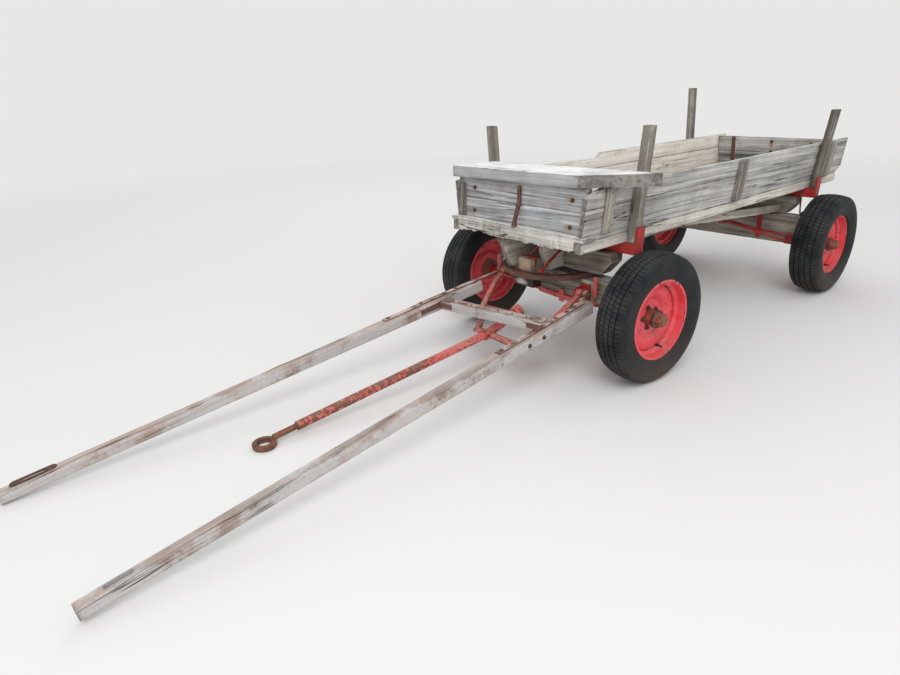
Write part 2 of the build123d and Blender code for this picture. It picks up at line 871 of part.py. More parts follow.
# Drawbar yoke: two flat arms down from the hinge, the right one bent in to the front bar,
# a rear brace from it to the boss, and the stub tube
yoke_tilt = degrees(atan2(yoke_drop, yoke_front_reach))
yoke_plane = Plane(
    origin=(0, hinge_y_abs, hinge_z),
    x_dir=(1, 0, 0),
    z_dir=(0, -sin(radians(yoke_tilt)), cos(radians(yoke_tilt))),
)
along = 1 / cos(radians(yoke_tilt))
bend = -yoke_bend_reach * along
front = -yoke_front_reach * along
half_arm = yoke_arm_width / 2
arm_eye_width = lug_space - lug_slack
collar_y = hinge_y_abs - yoke_front_reach
collar_z = hinge_z - yoke_drop
boss_y = collar_y + boss_back
boss_z = collar_z + boss_rise
stub_direction = Vector(0, boss_y - collar_y, boss_z - collar_z)
tube_tip = Vector(0, axle_front_y - tube_front, tube_front_z)
tube_start = Vector(0, collar_y, collar_z)
tube_direction = tube_tip - tube_start
arms = (
    # side, distance from the middle at the bend and at the front bar
    (-1, yoke_right_bend, yoke_right_end),
    (1, yoke_left_bend, yoke_left_end),
)
with BuildPart() as yoke:
    for side, bend_x, end_x in arms:
        with BuildSketch(yoke_plane.offset(-yoke_arm_thick / 2)):
            with BuildLine():
                spine = Polyline(
                    (side * hinge_x, yoke_eye_overlap - eye_radius),
                    (side * hinge_x, -yoke_straight),
                    (side * bend_x, bend),
                    (side * end_x, front + half_arm),
                )
            trace(line_width=yoke_arm_width)
        extrude(amount=yoke_arm_thick)
        with BuildSketch(Plane.YZ.offset(side * hinge_x - arm_eye_width / 2)):
            with Locations((hinge_y_abs, hinge_z)):
                Circle(eye_radius)
        extrude(amount=arm_eye_width)
    with BuildSketch(yoke_plane.offset(-yoke_arm_thick / 2)):
        with Locations(((yoke_left_end - yoke_right_end) / 2, front)):
            Rectangle(yoke_left_end + yoke_right_end + yoke_arm_width, yoke_arm_width)
    extrude(amount=yoke_arm_thick)
    with BuildSketch(Plane.XY.offset(boss_z - yoke_brace_thick / 2)):
        with BuildLine():
            wing_x = yoke_right_bend + yoke_brace_overrun
            wing_y = hinge_y_abs - yoke_bend_reach + yoke_brace_back
            Polyline(
                (-wing_x, wing_y - yoke_brace_half_depth),
                (0, boss_y - yoke_brace_half_depth),
                (0, boss_y + yoke_brace_half_depth),
                (-wing_x, wing_y + yoke_brace_half_depth),
                close=True,
            )
        make_face()
    extrude(amount=yoke_brace_thick)
    with BuildSketch(Plane(origin=tube_start, z_dir=stub_direction)):
        Circle(stub_tube_radius)
    extrude(amount=stub_direction.length)
    with BuildSketch(Plane(origin=(0, boss_y, boss_z), z_dir=stub_direction)):
        Circle(boss_radius)
    extrude(amount=boss_length)
    with BuildSketch(Plane(origin=tube_start, z_dir=tube_direction)):
        Circle(collar_radius)
    extrude(amount=collar_length)
    with BuildSketch(Plane(origin=tube_start, z_dir=tube_direction)):
        Circle(tube_radius)
    extrude(amount=tube_direction.length)
    for side in (-1, 1):
        with BuildSketch(Plane.YZ.offset(side * hinge_x - lug_space)):
            with Locations((hinge_y_abs, hinge_z)):
                Circle(pin_radius + run_gap)
        extrude(amount=2 * lug_space, mode=Mode.SUBTRACT)
write(yoke, "drawbar_yoke", rest_turn)

# Drawbar tongue: a thinner rod out of the tube's end, forged into a flat towing eye
tongue_dir = tube_direction.normalized()
tongue_start = tube_tip + tongue_dir * seat_gap
tongue_end = tube_tip + tongue_dir * tongue_length
eye_y = tongue_end.Y - eye_outer_radius + tongue_eye_overlap
with BuildPart() as tongue:
    with BuildSketch(Plane.XY):
        with Locations((0, eye_y)):
            Circle(eye_outer_radius)
    extrude(amount=eye_thick)
    fillet(tongue.edges().filter_by(GeomType.CIRCLE), eye_edge)
    with BuildSketch(Plane(origin=tongue_start, z_dir=tongue_dir)):
        Circle(tongue_radius)
    extrude(amount=tongue_length - seat_gap)
    with BuildSketch(Plane.XY.offset(-1)):
        with Locations((0, eye_y)):
            Circle(eye_bore_radius)
    extrude(amount=3 * eye_thick, mode=Mode.SUBTRACT)
write(tongue, "drawbar_eye", rest_turn)

# Shafts lie in one plane that tilts down from below the hinge to the ground
fall = hinge_z - shaft_tip_z
lead_reach = shaft_front_reach + hinge_y
lead_reach -= shaft_tip_height / 2 * sin(atan2(fall, lead_reach))
shaft_reach = (lead_reach**2 + fall**2 - shaft_drop**2) ** 0.5
shaft_tilt = atan2(fall, lead_reach) - atan2(shaft_drop, shaft_reach)
shaft_plane = Plane(
    origin=(0, hinge_y_abs, hinge_z), x_dir=(1, 0, 0), z_dir=(0, -sin(shaft_tilt), cos(shaft_tilt))
)
shaft_mid = -shaft_drop
shaft_length = shaft_reach - shaft_slip - shaft_rear_gap
shaft_table = (
    # label, side, slip forward
    ("shaft_left", 1, 0),
    ("shaft_right", -1, shaft_slip),
)


def shaft_point(side, slip, distance, lift):
    """A point on a shaft's middle line, a distance ahead of its rear end."""
    share = distance / shaft_length
    x = shaft_rear_x + (shaft_tip_x - shaft_rear_x) * share
    return shaft_plane.from_local_coords((side * x, -(shaft_rear_gap + slip + distance), shaft_mid + lift))


def shaft_side_x(distance):
    """The inner face of a shaft at a distance ahead of its rear end."""
    share = distance / shaft_length
    middle = shaft_rear_x + (shaft_tip_x - shaft_rear_x) * share
    return middle - (shaft_rear_width + (shaft_tip_width - shaft_rear_width) * share) / 2


for label, side, slip in shaft_table:
    rear_point = shaft_point(side, slip, 0, 0)
    tip_point = shaft_point(side, slip, shaft_length, 0)
    direction = tip_point - rear_point
    with BuildPart() as shaft:
        across_dir = shaft_plane.z_dir.cross(direction).normalized()
        with BuildSketch(Plane(origin=rear_point, x_dir=across_dir, z_dir=direction)):
            RectangleRounded(shaft_rear_width, shaft_rear_height, shaft_edge)
        with BuildSketch(Plane(origin=tip_point, x_dir=across_dir, z_dir=direction)):
            RectangleRounded(shaft_tip_width, shaft_tip_height, shaft_edge)
        loft()
        slot_point = shaft_point(side, slip, shaft_length - shaft_slot_back, 0)
        slot_plane = Plane(origin=slot_point, x_dir=direction, z_dir=shaft_plane.z_dir)
        with BuildSketch(slot_plane.offset(-shaft_rear_height)):
            SlotOverall(shaft_slot_length, shaft_slot_width)
        extrude(amount=2 * shaft_rear_height, mode=Mode.SUBTRACT)
    write(shaft, label)

# Crossbar between the shafts, skewed because the right shaft has racked forward
bar_back = crossbar_reach - crossbar_depth
with BuildPart() as crossbar:
    with BuildSketch(shaft_plane.offset(shaft_mid - crossbar_height / 2)):
        with BuildLine():
            Polyline(
                (shaft_side_x(bar_back) - seat_gap, -(shaft_rear_gap + bar_back)),
                (shaft_side_x(crossbar_reach) - seat_gap, -(shaft_rear_gap + crossbar_reach)),
                (
                    -(shaft_side_x(crossbar_reach) - seat_gap),
                    -(shaft_rear_gap + crossbar_reach + shaft_slip),
                ),
                (-(shaft_side_x(bar_back) - seat_gap), -(shaft_rear_gap + bar_back + shaft_slip)),
                close=True,
            )
        make_face()
    extrude(amount=crossbar_height)
write(crossbar, "shaft_crossbar")

# Shaft irons: a strap on each shaft's top that ends in the eye on the turned hinge pin
strap_low = shaft_mid + shaft_rear_height / 2
eye_x = lug_outer + lug_slack + shaft_eye_width / 2
strap_half = strap_width / 2
pin_direction = Vector(1, 0).rotate(Axis.Z, rest_turn)


def strap_corner(x, ahead):
    """A corner of the strap beside the lug, in the shafts' plane."""
    spot = turned(x, hinge_y_abs - ahead)
    return (spot.X, (spot.Y - hinge_y_abs) / cos(shaft_tilt))


with BuildPart() as straps:
    for label, side, slip in shaft_table:
        eye_in = side * (eye_x - shaft_eye_width / 2)
        eye_out = side * (eye_x + shaft_eye_width / 2)
        with BuildSketch(shaft_plane.offset(strap_low)):
            with BuildLine():
                Polyline(
                    strap_corner(eye_in, 0),
                    strap_corner(eye_out, 0),
                    strap_corner(eye_out, slip + strap_bend_rear),
                    (side * (shaft_rear_x + strap_half), -(slip + strap_bend_front)),
                    (side * (shaft_rear_x + strap_half + strap_toe_in), -(slip + strap_length)),
                    (side * (shaft_rear_x - strap_half + strap_toe_in), -(slip + strap_length)),
                    (side * (shaft_rear_x - strap_half), -(slip + strap_bend_front)),
                    strap_corner(eye_in, slip + strap_bend_rear),
                    close=True,
                )
            make_face()
        extrude(amount=strap_thick)
        eye_spot = turned(side * eye_x, hinge_y_abs)
        eye_plane = Plane(origin=(eye_spot.X, eye_spot.Y, hinge_z), z_dir=pin_direction)
        with BuildSketch(eye_plane.offset(-shaft_eye_width / 2)):
            Circle(eye_radius)
        extrude(amount=shaft_eye_width)
        with BuildSketch(eye_plane.offset(-shaft_eye_width)):
            Circle(pin_radius + run_gap)
        extrude(amount=2 * shaft_eye_width, mode=Mode.SUBTRACT)
write(straps, "shaft_irons")

# Hook bar on the front board, its lower end bent forward to stand on the sill
with BuildPart() as hook:
    bar_y = box_front + front_inset - seat_gap - hook_thick / 2
    foot_z = sill_top + seat_gap + hook_thick / 2
    with BuildSketch(Plane.YZ.offset(hook_x - hook_width / 2)):
        with BuildLine():
            Polyline(
                (bar_y, side_top - hook_drop - seat_fall),
                (bar_y, sill_top + hook_bend),
                (bar_y - hook_reach, foot_z),
                (bar_y - hook_reach + hook_toe, foot_z),
            )
        trace(line_width=hook_thick)
    extrude(amount=hook_width)
write(hook, "front_hook")
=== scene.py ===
import json
import math
import random

import bmesh
import bpy
import numpy as np
from mathutils import Matrix, Vector, noise


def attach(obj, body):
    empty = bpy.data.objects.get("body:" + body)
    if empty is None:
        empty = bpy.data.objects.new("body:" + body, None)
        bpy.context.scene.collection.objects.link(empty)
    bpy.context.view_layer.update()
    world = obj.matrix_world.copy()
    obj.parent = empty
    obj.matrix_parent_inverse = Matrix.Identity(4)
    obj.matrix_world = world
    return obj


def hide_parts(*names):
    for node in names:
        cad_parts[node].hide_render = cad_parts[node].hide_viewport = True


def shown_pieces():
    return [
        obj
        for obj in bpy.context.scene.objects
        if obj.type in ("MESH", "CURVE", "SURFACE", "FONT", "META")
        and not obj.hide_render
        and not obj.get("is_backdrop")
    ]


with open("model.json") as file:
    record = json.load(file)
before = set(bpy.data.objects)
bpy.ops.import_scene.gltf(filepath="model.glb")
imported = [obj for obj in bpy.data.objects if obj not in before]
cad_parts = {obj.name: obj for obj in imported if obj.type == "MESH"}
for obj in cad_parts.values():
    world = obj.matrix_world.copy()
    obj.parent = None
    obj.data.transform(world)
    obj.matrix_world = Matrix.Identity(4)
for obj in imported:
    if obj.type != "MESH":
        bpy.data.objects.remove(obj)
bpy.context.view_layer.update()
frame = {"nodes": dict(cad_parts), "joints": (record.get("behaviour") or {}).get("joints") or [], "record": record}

nodeBody = {}
for bodyName, members in frame["record"]["behaviour"]["bodies"].items():
    for member in members:
        nodeBody[member] = bodyName
print("frame loaded:", len(nodeBody), "nodes")


# camera, at the place the picture was taken from
cameraSettings = {
    "place": (2.2057, -2.5411, 1.4035),
    "lens": 25.26,
    "yaw": 50.54,
    "pitch": 21.82,
    "roll": 2.28,
}


def makeCamera(settings):
    yaw, pitch, roll = (math.radians(settings[key]) for key in ("yaw", "pitch", "roll"))
    forward = Vector((-math.sin(yaw) * math.cos(pitch), math.cos(yaw) * math.cos(pitch), -math.sin(pitch)))
    level = Vector((math.cos(yaw), math.sin(yaw), 0))
    down = forward.cross(level)
    right = math.cos(roll) * level + math.sin(roll) * down
    up = math.sin(roll) * level - math.cos(roll) * down
    data = bpy.data.cameras.new("camera")
    data.lens = settings["lens"]
    data.sensor_width = 36
    camera = addObject("camera", data)
    turned = Matrix((right, up, -forward)).transposed().to_4x4()
    camera.matrix_world = Matrix.Translation(settings["place"]) @ turned
    bpy.context.scene.camera = camera


# shader helpers
def addNode(tree, kind, values=None, **props):
    made = tree.nodes.new(kind)
    for key, value in props.items():
        setattr(made, key, value)
    for key, value in (values or {}).items():
        socket = made.inputs[key]
        if isinstance(value, bpy.types.NodeSocket):
            tree.links.new(value, socket)
        else:
            socket.default_value = value
    return made


def calc(tree, operation, first, second=0.0, third=0.0, clamp=False):
    return addNode(
        tree, "ShaderNodeMath", {0: first, 1: second, 2: third}, operation=operation, use_clamp=clamp
    ).outputs[0]


def times(tree, first, second, clamp=False):
    return calc(tree, "MULTIPLY", first, second, clamp=clamp)


def timesPlus(tree, first, second, third, clamp=False):
    return calc(tree, "MULTIPLY_ADD", first, second, third, clamp)


def minus(tree, first, second):
    return calc(tree, "SUBTRACT", first, second)


def vectorCalc(tree, operation, first, second=(0, 0, 0), output=0):
    return addNode(tree, "ShaderNodeVectorMath", {0: first, 1: second}, operation=operation).outputs[output]


def mixColour(tree, share, first, second):
    return addNode(tree, "ShaderNodeMix", {0: share, 6: first, 7: second}, data_type="RGBA").outputs[2]


def addLayers(tree, base, layers):
    # a layer is a mask, how much of it shows, and its colour
    for mask, share, tone in layers:
        tone = colour(*tone) if isinstance(tone, tuple) else tone
        base = mixColour(tree, times(tree, mask, share), base, tone)
    return base


def addTerms(tree, total, terms):
    for source, share in terms:
        total = timesPlus(tree, source, share, total)
    return total


def ramp(tree, value, low, high, lowOut=0.0, highOut=1.0):
    made = addNode(
        tree, "ShaderNodeMapRange", {0: value, 1: low, 2: high, 3: lowOut, 4: highOut},
        interpolation_type="SMOOTHSTEP"
    )
    return made.outputs[0]


def noiseTex(tree, vector, scale, detail=3.0, rough=0.55, distortion=0.0):
    made = addNode(
        tree, "ShaderNodeTexNoise",
        {"Vector": vector, "Scale": scale, "Detail": detail, "Roughness": rough, "Distortion": distortion}
    )
    return made.outputs["Fac"]


def stretched(tree, vector, scale, shift=(0, 0, 0)):
    return addNode(tree, "ShaderNodeMapping", {"Vector": vector, "Scale": scale, "Location": shift}).outputs[0]


def newGroup(name, inputs, outputs):
    group = bpy.data.node_groups.new(name, "ShaderNodeTree")
    for label, kind, value in inputs:
        socket = group.interface.new_socket(name=label, in_out="INPUT", socket_type=kind)
        if value is not None:
            socket.default_value = value
    for label, kind in outputs:
        group.interface.new_socket(name=label, in_out="OUTPUT", socket_type=kind)
    return group, group.nodes.new("NodeGroupInput").outputs, group.nodes.new("NodeGroupOutput").inputs


def colour(red, green, blue):
    # screen values 0..255 to the linear colour that a socket takes
    linear = []
    for value in (red, green, blue):
        part = value / 255
        linear.append(part / 12.92 if part <= 0.04045 else ((part + 0.055) / 1.055) ** 2.4)
    return (*linear, 1.0)


edgeReach = 0.012  # how far from an edge the wear reaches
floatSocket, colourSocket, vectorSocket = "NodeSocketFloat", "NodeSocketColor", "NodeSocketVector"


# weathered wood: rings about a pith, fibres, checks, knots, stains, frayed edges, and painted shade on faces that
# point down
def makeWoodGroup():
    tree, given, out = newGroup("agedWood", [
        ("Plank", vectorSocket, None),
        ("Place", vectorSocket, None),
        ("Tone", floatSocket, 0.5),
        ("Edge", floatSocket, 1.0),
        ("End", floatSocket, 0.0),
        ("Upward", floatSocket, 0.0),
        ("Light", colourSocket, colour(175, 172, 166)),
        ("Dark", colourSocket, colour(112, 108, 102)),
        ("Fresh", colourSocket, colour(178, 150, 122)),
        ("Fresh Share", floatSocket, 0.2),
        ("Stain", colourSocket, colour(52, 48, 44)),
        ("Stain Share", floatSocket, 0.4),
        ("Bleach", floatSocket, 0.4),
        ("Gnawed", floatSocket, 0.0),
        ("Whitewash", floatSocket, 0.0),
    ], [("Color", colourSocket), ("Roughness", floatSocket), ("Height", floatSocket)])
    plank, place = given["Plank"], given["Place"]

    knotCell = addNode(
        tree, "ShaderNodeTexVoronoi",
        {"Vector": stretched(tree, plank, (11.0, 11.0, 2.8)), "Scale": 1.0, "Randomness": 1.0}
    )
    knotPick = calc(
        tree, "GREATER_THAN",
        addNode(tree, "ShaderNodeSeparateColor", {0: knotCell.outputs["Color"]}).outputs[0], 0.93
    )
    knotNear = times(tree, ramp(tree, knotCell.outputs["Distance"], 0.34, 0.05), knotPick)
    knotCore = times(tree, ramp(tree, knotCell.outputs["Distance"], 0.125, 0.085), knotPick)

    wander = addNode(
        tree, "ShaderNodeTexNoise",
        {"Vector": stretched(tree, plank, (5.0, 5.0, 0.9)), "Scale": 1.0, "Detail": 2.0}
    )
    bent = vectorCalc(tree, "SUBTRACT", wander.outputs["Color"], (0.5, 0.5, 0.5))
    bent = addNode(tree, "ShaderNodeVectorMath", {0: bent, "Scale": 0.030}, operation="SCALE").outputs[0]
    bent = vectorCalc(tree, "ADD", plank, bent)
    pushed = addNode(tree, "ShaderNodeCombineXYZ", {0: times(tree, knotNear, 0.011)}).outputs[0]
    bent = vectorCalc(tree, "ADD", bent, pushed)
    rings = addNode(
        tree, "ShaderNodeTexWave",
        {
            "Vector": stretched(tree, bent, (1.0, 1.0, 0.12)), "Scale": 48.0, "Distortion": 1.2,
            "Detail": 2.0, "Detail Scale": 0.6
        },
        wave_type="RINGS", rings_direction="Z", wave_profile="SAW"
    ).outputs["Fac"]

    fibre = noiseTex(tree, stretched(tree, bent, (340.0, 340.0, 7.0)), 1.0, 3.0, 0.6)
    streak = noiseTex(tree, stretched(tree, bent, (95.0, 95.0, 1.6), (3.1, 0.7, 5.0)), 1.0, 3.0, 0.6)
    broad = noiseTex(tree, stretched(tree, bent, (34.0, 34.0, 0.8), (2.0, 8.0, 3.0)), 1.0, 4.0, 0.62)
    across = noiseTex(tree, stretched(tree, place, (42.0, 42.0, 7.0), (6.0, 1.0, 2.0)), 1.0, 4.0, 0.6, 0.6)
    gnawed = times(tree, given["Gnawed"], ramp(tree, noiseTex(tree, place, 7.0, 2.0), 0.40, 0.62))
    splitLine = noiseTex(tree, stretched(tree, bent, (38.0, 38.0, 1.1), (7.0, 2.0, 1.0)), 1.0, 1.5, 0.5)
    splitLine = ramp(tree, calc(tree, "ABSOLUTE", minus(tree, splitLine, 0.5)), 0.014, 0.003)
    splitArea = ramp(
        tree, noiseTex(tree, stretched(tree, plank, (9.0, 9.0, 1.1), (1.0, 9.0, 4.0)), 1.0, 2.0), 0.47, 0.58
    )
    endSplit = ramp(
        tree, noiseTex(tree, stretched(tree, bent, (70.0, 70.0, 1.0), (4.0, 4.0, 0.0)), 1.0, 1.0), 0.64,
        0.70
    )
    split = times(tree, splitLine, splitArea)
    split = calc(tree, "MAXIMUM", split, times(tree, endSplit, times(tree, given["End"], 0.5)))

    patch = noiseTex(tree, place, 5.5, 4.0, 0.62)
    blotch = noiseTex(tree, stretched(tree, plank, (14.0, 14.0, 4.0), (0.0, 5.0, 2.0)), 1.0, 4.0, 0.65)
    mould = ramp(tree, noiseTex(tree, place, 42.0, 4.0, 0.7), 0.56, 0.72)

    spread = [(broad, 1.7), (streak, 1.05), (fibre, 0.60), (given["Tone"], 0.34)]
    value = timesPlus(tree, rings, -0.24, 0.66)
    value = timesPlus(tree, times(tree, minus(tree, across, 0.5), gnawed), 3.0, value)
    value = addTerms(tree, value, [(minus(tree, source, 0.5), share) for source, share in spread])
    value = timesPlus(tree, minus(tree, patch, 0.5), 0.85, value, clamp=True)
    freshArea = ramp(tree, timesPlus(tree, streak, 0.35, blotch), 0.58, 0.86)
    bleachArea = times(tree, ramp(tree, given["Upward"], 0.2, 0.9), given["Bleach"])
    bleached = mixColour(tree, value, colour(206, 208, 209), colour(248, 249, 249))
    stained = ramp(tree, calc(tree, "ADD", blotch, times(tree, mould, 0.12)), 0.55, 0.72)
    knotTone = mixColour(tree, rings, colour(74, 60, 48), colour(116, 98, 80))
    endTone = mixColour(tree, value, colour(66, 60, 54), colour(132, 124, 114))
    frayed = ramp(tree, timesPlus(tree, minus(tree, streak, 0.5), 0.012, given["Edge"]), 0.0065, 0.0008)
    frayedTone = mixColour(tree, ramp(tree, patch, 0.42, 0.6), colour(96, 88, 78), colour(196, 190, 180))
    limit = ramp(tree, given["Upward"], 0.3, 0.9, 0.36, 0.56)
    wash = times(tree, minus(tree, timesPlus(tree, mould, -0.10, patch), limit), 9.0, clamp=True)
    grain = noiseTex(tree, place, 95.0, 4.0, 0.7)
    washTone = mixColour(tree, grain, colour(158, 160, 162), colour(238, 239, 240))
    grey = addLayers(tree, mixColour(tree, value, given["Dark"], given["Light"]), [
        (freshArea, given["Fresh Share"], given["Fresh"]),
        (bleachArea, ramp(tree, patch, 0.30, 0.62, 0.45, 1.0), bleached),
        # painted shade: faces that point down are darkened towards brown
        (ramp(tree, given["Upward"], -0.3, -0.8), 0.55, (84, 72, 60)),
        (stained, given["Stain Share"], given["Stain"]),
        (mould, 0.12, (80, 80, 78)),
        (knotNear, 0.35, (120, 104, 88)),
        (knotCore, 0.85, knotTone),
        (given["End"], 0.75, endTone),
        (frayed, 0.55, frayedTone),
        (wash, given["Whitewash"], washTone),
        (split, 0.88, (30, 27, 24)),
    ])
    tree.links.new(grey, out["Color"])

    tree.links.new(timesPlus(tree, value, 0.16, 0.74), out["Roughness"])
    rough = [(fibre, 0.35), (streak, 0.55), (times(tree, across, gnawed), 1.5), (split, -1.6), (knotCore, 0.35)]
    height = addTerms(tree, timesPlus(tree, rings, -0.30, 0.5), rough)
    tree.links.new(height, out["Height"])
    return tree


# faded paint on iron, with chips to primer and rust, and dust on what faces up
def makePaintGroup():
    tree, given, out = newGroup("fadedPaint", [
        ("Place", vectorSocket, None),
        ("Edge", floatSocket, 1.0),
        ("Upward", floatSocket, 0.0),
        ("Paint", colourSocket, colour(200, 45, 45)),
        ("Faded", colourSocket, colour(206, 92, 80)),
        ("Fade Share", floatSocket, 0.4),
        ("Rust", colourSocket, colour(104, 62, 48)),
        ("Rust Share", floatSocket, 0.4),
        ("Dust Share", floatSocket, 0.3),
        ("Dust", colourSocket, colour(158, 138, 122)),
    ], [("Color", colourSocket), ("Roughness", floatSocket), ("Height", floatSocket)])
    place = given["Place"]
    cloud = noiseTex(tree, place, 11.0, 4.0, 0.6)
    fine = noiseTex(tree, place, 160.0, 3.0, 0.65)
    run = noiseTex(tree, stretched(tree, place, (90.0, 90.0, 9.0)), 1.0, 3.0, 0.6)
    chip = noiseTex(tree, place, 55.0, 5.0, 0.62)
    shift = timesPlus(tree, ramp(tree, given["Edge"], 0.007, 0.0), 0.16, chip)
    shift = timesPlus(tree, minus(tree, cloud, 0.5), 0.55, shift)
    limit = timesPlus(tree, given["Rust Share"], -0.34, 0.80)
    bare = times(tree, minus(tree, shift, limit), 18.0, clamp=True)
    halo = times(tree, minus(tree, shift, minus(tree, limit, 0.075)), 9.0, clamp=True)
    fadeMask = times(tree, ramp(tree, timesPlus(tree, run, 0.5, cloud), 0.56, 0.95), given["Fade Share"])
    fadeMask = calc(tree, "ADD", fadeMask, times(tree, given["Fade Share"], 0.35), clamp=True)
    oldRust = mixColour(tree, cloud, colour(58, 40, 34), given["Rust"])
    dusty = times(tree, ramp(tree, given["Upward"], 0.1, 0.9), given["Dust Share"])
    paint = addLayers(tree, mixColour(tree, fadeMask, given["Paint"], given["Faded"]), [
        (ramp(tree, run, 0.52, 0.70), 0.30, (92, 34, 30)),
        (halo, 0.55, (122, 48, 36)),
        (bare, 1.0, mixColour(tree, fine, oldRust, colour(138, 84, 56))),
        (dusty, ramp(tree, cloud, 0.38, 0.62), given["Dust"]),
        (ramp(tree, fine, 0.62, 0.75), 0.22, (64, 40, 36)),
    ])
    tree.links.new(paint, out["Color"])
    tree.links.new(timesPlus(tree, bare, 0.25, timesPlus(tree, cloud, 0.3, 0.38)), out["Roughness"])
    height = timesPlus(tree, bare, timesPlus(tree, fine, 0.9, -0.9), times(tree, fine, 0.08))
    tree.links.new(height, out["Height"])
    return tree


# brown rust on plain iron, pitted
def makeRustGroup():
    tree, given, out = newGroup("oldRust", [
        ("Place", vectorSocket, None),
        ("Edge", floatSocket, 1.0),
        ("Base", colourSocket, colour(84, 60, 52)),
        ("Bright", colourSocket, colour(146, 92, 64)),
        ("Paint Trace", floatSocket, 0.0),
    ], [("Color", colourSocket), ("Roughness", floatSocket), ("Height", floatSocket)])
    place = given["Place"]
    cloud = noiseTex(tree, place, 22.0, 4.0, 0.62)
    fine = noiseTex(tree, place, 240.0, 4.0, 0.7)
    pit = noiseTex(tree, place, 90.0, 5.0, 0.65)
    bright = ramp(tree, timesPlus(tree, fine, 0.4, cloud), 0.5, 0.9)
    tone = addLayers(tree, mixColour(tree, bright, given["Base"], given["Bright"]), [
        (ramp(tree, pit, 0.52, 0.66), 0.7, (46, 36, 33)),
        (ramp(tree, cloud, 0.46, 0.60), given["Paint Trace"], (168, 62, 54)),
        (ramp(tree, given["Edge"], 0.004, 0.0), 0.35, (140, 118, 104)),
    ])
    tree.links.new(tone, out["Color"])
    tree.links.new(timesPlus(tree, pit, 0.3, 0.55), out["Roughness"])
    tree.links.new(timesPlus(tree, pit, 0.7, times(tree, fine, 0.5)), out["Height"])
    return tree


def startMaterial(name):
    material = bpy.data.materials.new(name)
    material.use_nodes = True
    tree = material.node_tree
    tree.nodes.clear()
    shader = addNode(tree, "ShaderNodeBsdfPrincipled")
    addNode(tree, "ShaderNodeOutputMaterial", {"Surface": shader.outputs[0]})
    place = addNode(tree, "ShaderNodeTexCoord").outputs["Object"]
    upward = addNode(
        tree, "ShaderNodeSeparateXYZ", {0: addNode(tree, "ShaderNodeNewGeometry").outputs["Normal"]}
    ).outputs[2]
    return material, tree, shader, place, upward


def readAttribute(tree, name, output="Fac"):
    return addNode(tree, "ShaderNodeAttribute", attribute_name=name).outputs[output]


def feedShader(tree, shader, group, bumpStrength, bumpDistance):
    tree.links.new(group.outputs["Color"], shader.inputs["Base Color"])
    tree.links.new(group.outputs["Roughness"], shader.inputs["Roughness"])
    bump = addNode(
        tree, "ShaderNodeBump",
        {"Height": group.outputs["Height"], "Strength": bumpStrength, "Distance": bumpDistance}
    )
    tree.links.new(bump.outputs[0], shader.inputs["Normal"])


def stainMask(tree, place, spots):
    # rust that has bled out of a bolt, widest along the grain
    ragged = noiseTex(tree, stretched(tree, place, (16.0, 60.0, 60.0)), 1.0, 4.0, 0.7)
    whole = 0.0
    for centre, size in spots:
        offset = vectorCalc(tree, "SUBTRACT", place, centre)
        offset = vectorCalc(tree, "DIVIDE", offset, size)
        reach = vectorCalc(tree, "LENGTH", offset, output="Value")
        mask = ramp(tree, timesPlus(tree, ragged, 1.1, reach), 1.55, 0.75)
        whole = calc(tree, "MAXIMUM", mask, whole)
    return whole


def woodMaterial(name, look, spots=(), spotTone=(158, 112, 66), spotShare=0.75):
    material, tree, shader, place, upward = startMaterial(name)
    group = addNode(tree, "ShaderNodeGroup", node_tree=woodGroup)
    values = {
        "Plank": readAttribute(tree, "grainPos", "Vector"),
        "Place": place,
        "Tone": readAttribute(tree, "boardTone"),
        "Edge": readAttribute(tree, "edgeDistance"),
        "End": readAttribute(tree, "endGrain"),
        "Upward": upward,
    }
    for key, value in values.items():
        tree.links.new(value, group.inputs[key])
    for key, value in look.items():
        group.inputs[key].default_value = colour(*value) if isinstance(value, tuple) else value
    feedShader(tree, shader, group, 0.55, 0.0016)
    if spots:
        stained = mixColour(
            tree, times(tree, stainMask(tree, place, spots), spotShare), group.outputs["Color"],
            colour(*spotTone)
        )
        tree.links.new(stained, shader.inputs["Base Color"])
    shader.inputs["Specular IOR Level"].default_value = 0.25
    return material


def ironMaterial(name, groupTree, look, specular=0.4, spots=(), rustFrom=None):
    material, tree, shader, place, upward = startMaterial(name)
    group = addNode(tree, "ShaderNodeGroup", node_tree=groupTree)
    tree.links.new(place, group.inputs["Place"])
    tree.links.new(readAttribute(tree, "edgeDistance"), group.inputs["Edge"])
    if "Upward" in group.inputs:
        tree.links.new(upward, group.inputs["Upward"])
    for key, value in look.items():
        group.inputs[key].default_value = colour(*value) if isinstance(value, tuple) else value
    feedShader(tree, shader, group, 0.5, 0.0008)
    if spots:
        bared = mixColour(tree, stainMask(tree, place, spots), group.outputs["Color"], colour(222, 216, 204))
        tree.links.new(bared, shader.inputs["Base Color"])
    if rustFrom:
        # the paint is gone beyond a place along the length
        ahead = addNode(tree, "ShaderNodeSeparateXYZ", {0: place}).outputs[1]
        tree.links.new(ramp(tree, ahead, *rustFrom), group.inputs["Rust Share"])
    shader.inputs["Specular IOR Level"].default_value = specular
    return material


woodGroup = makeWoodGroup()
paintGroup = makePaintGroup()
rustGroup = makeRustGroup()

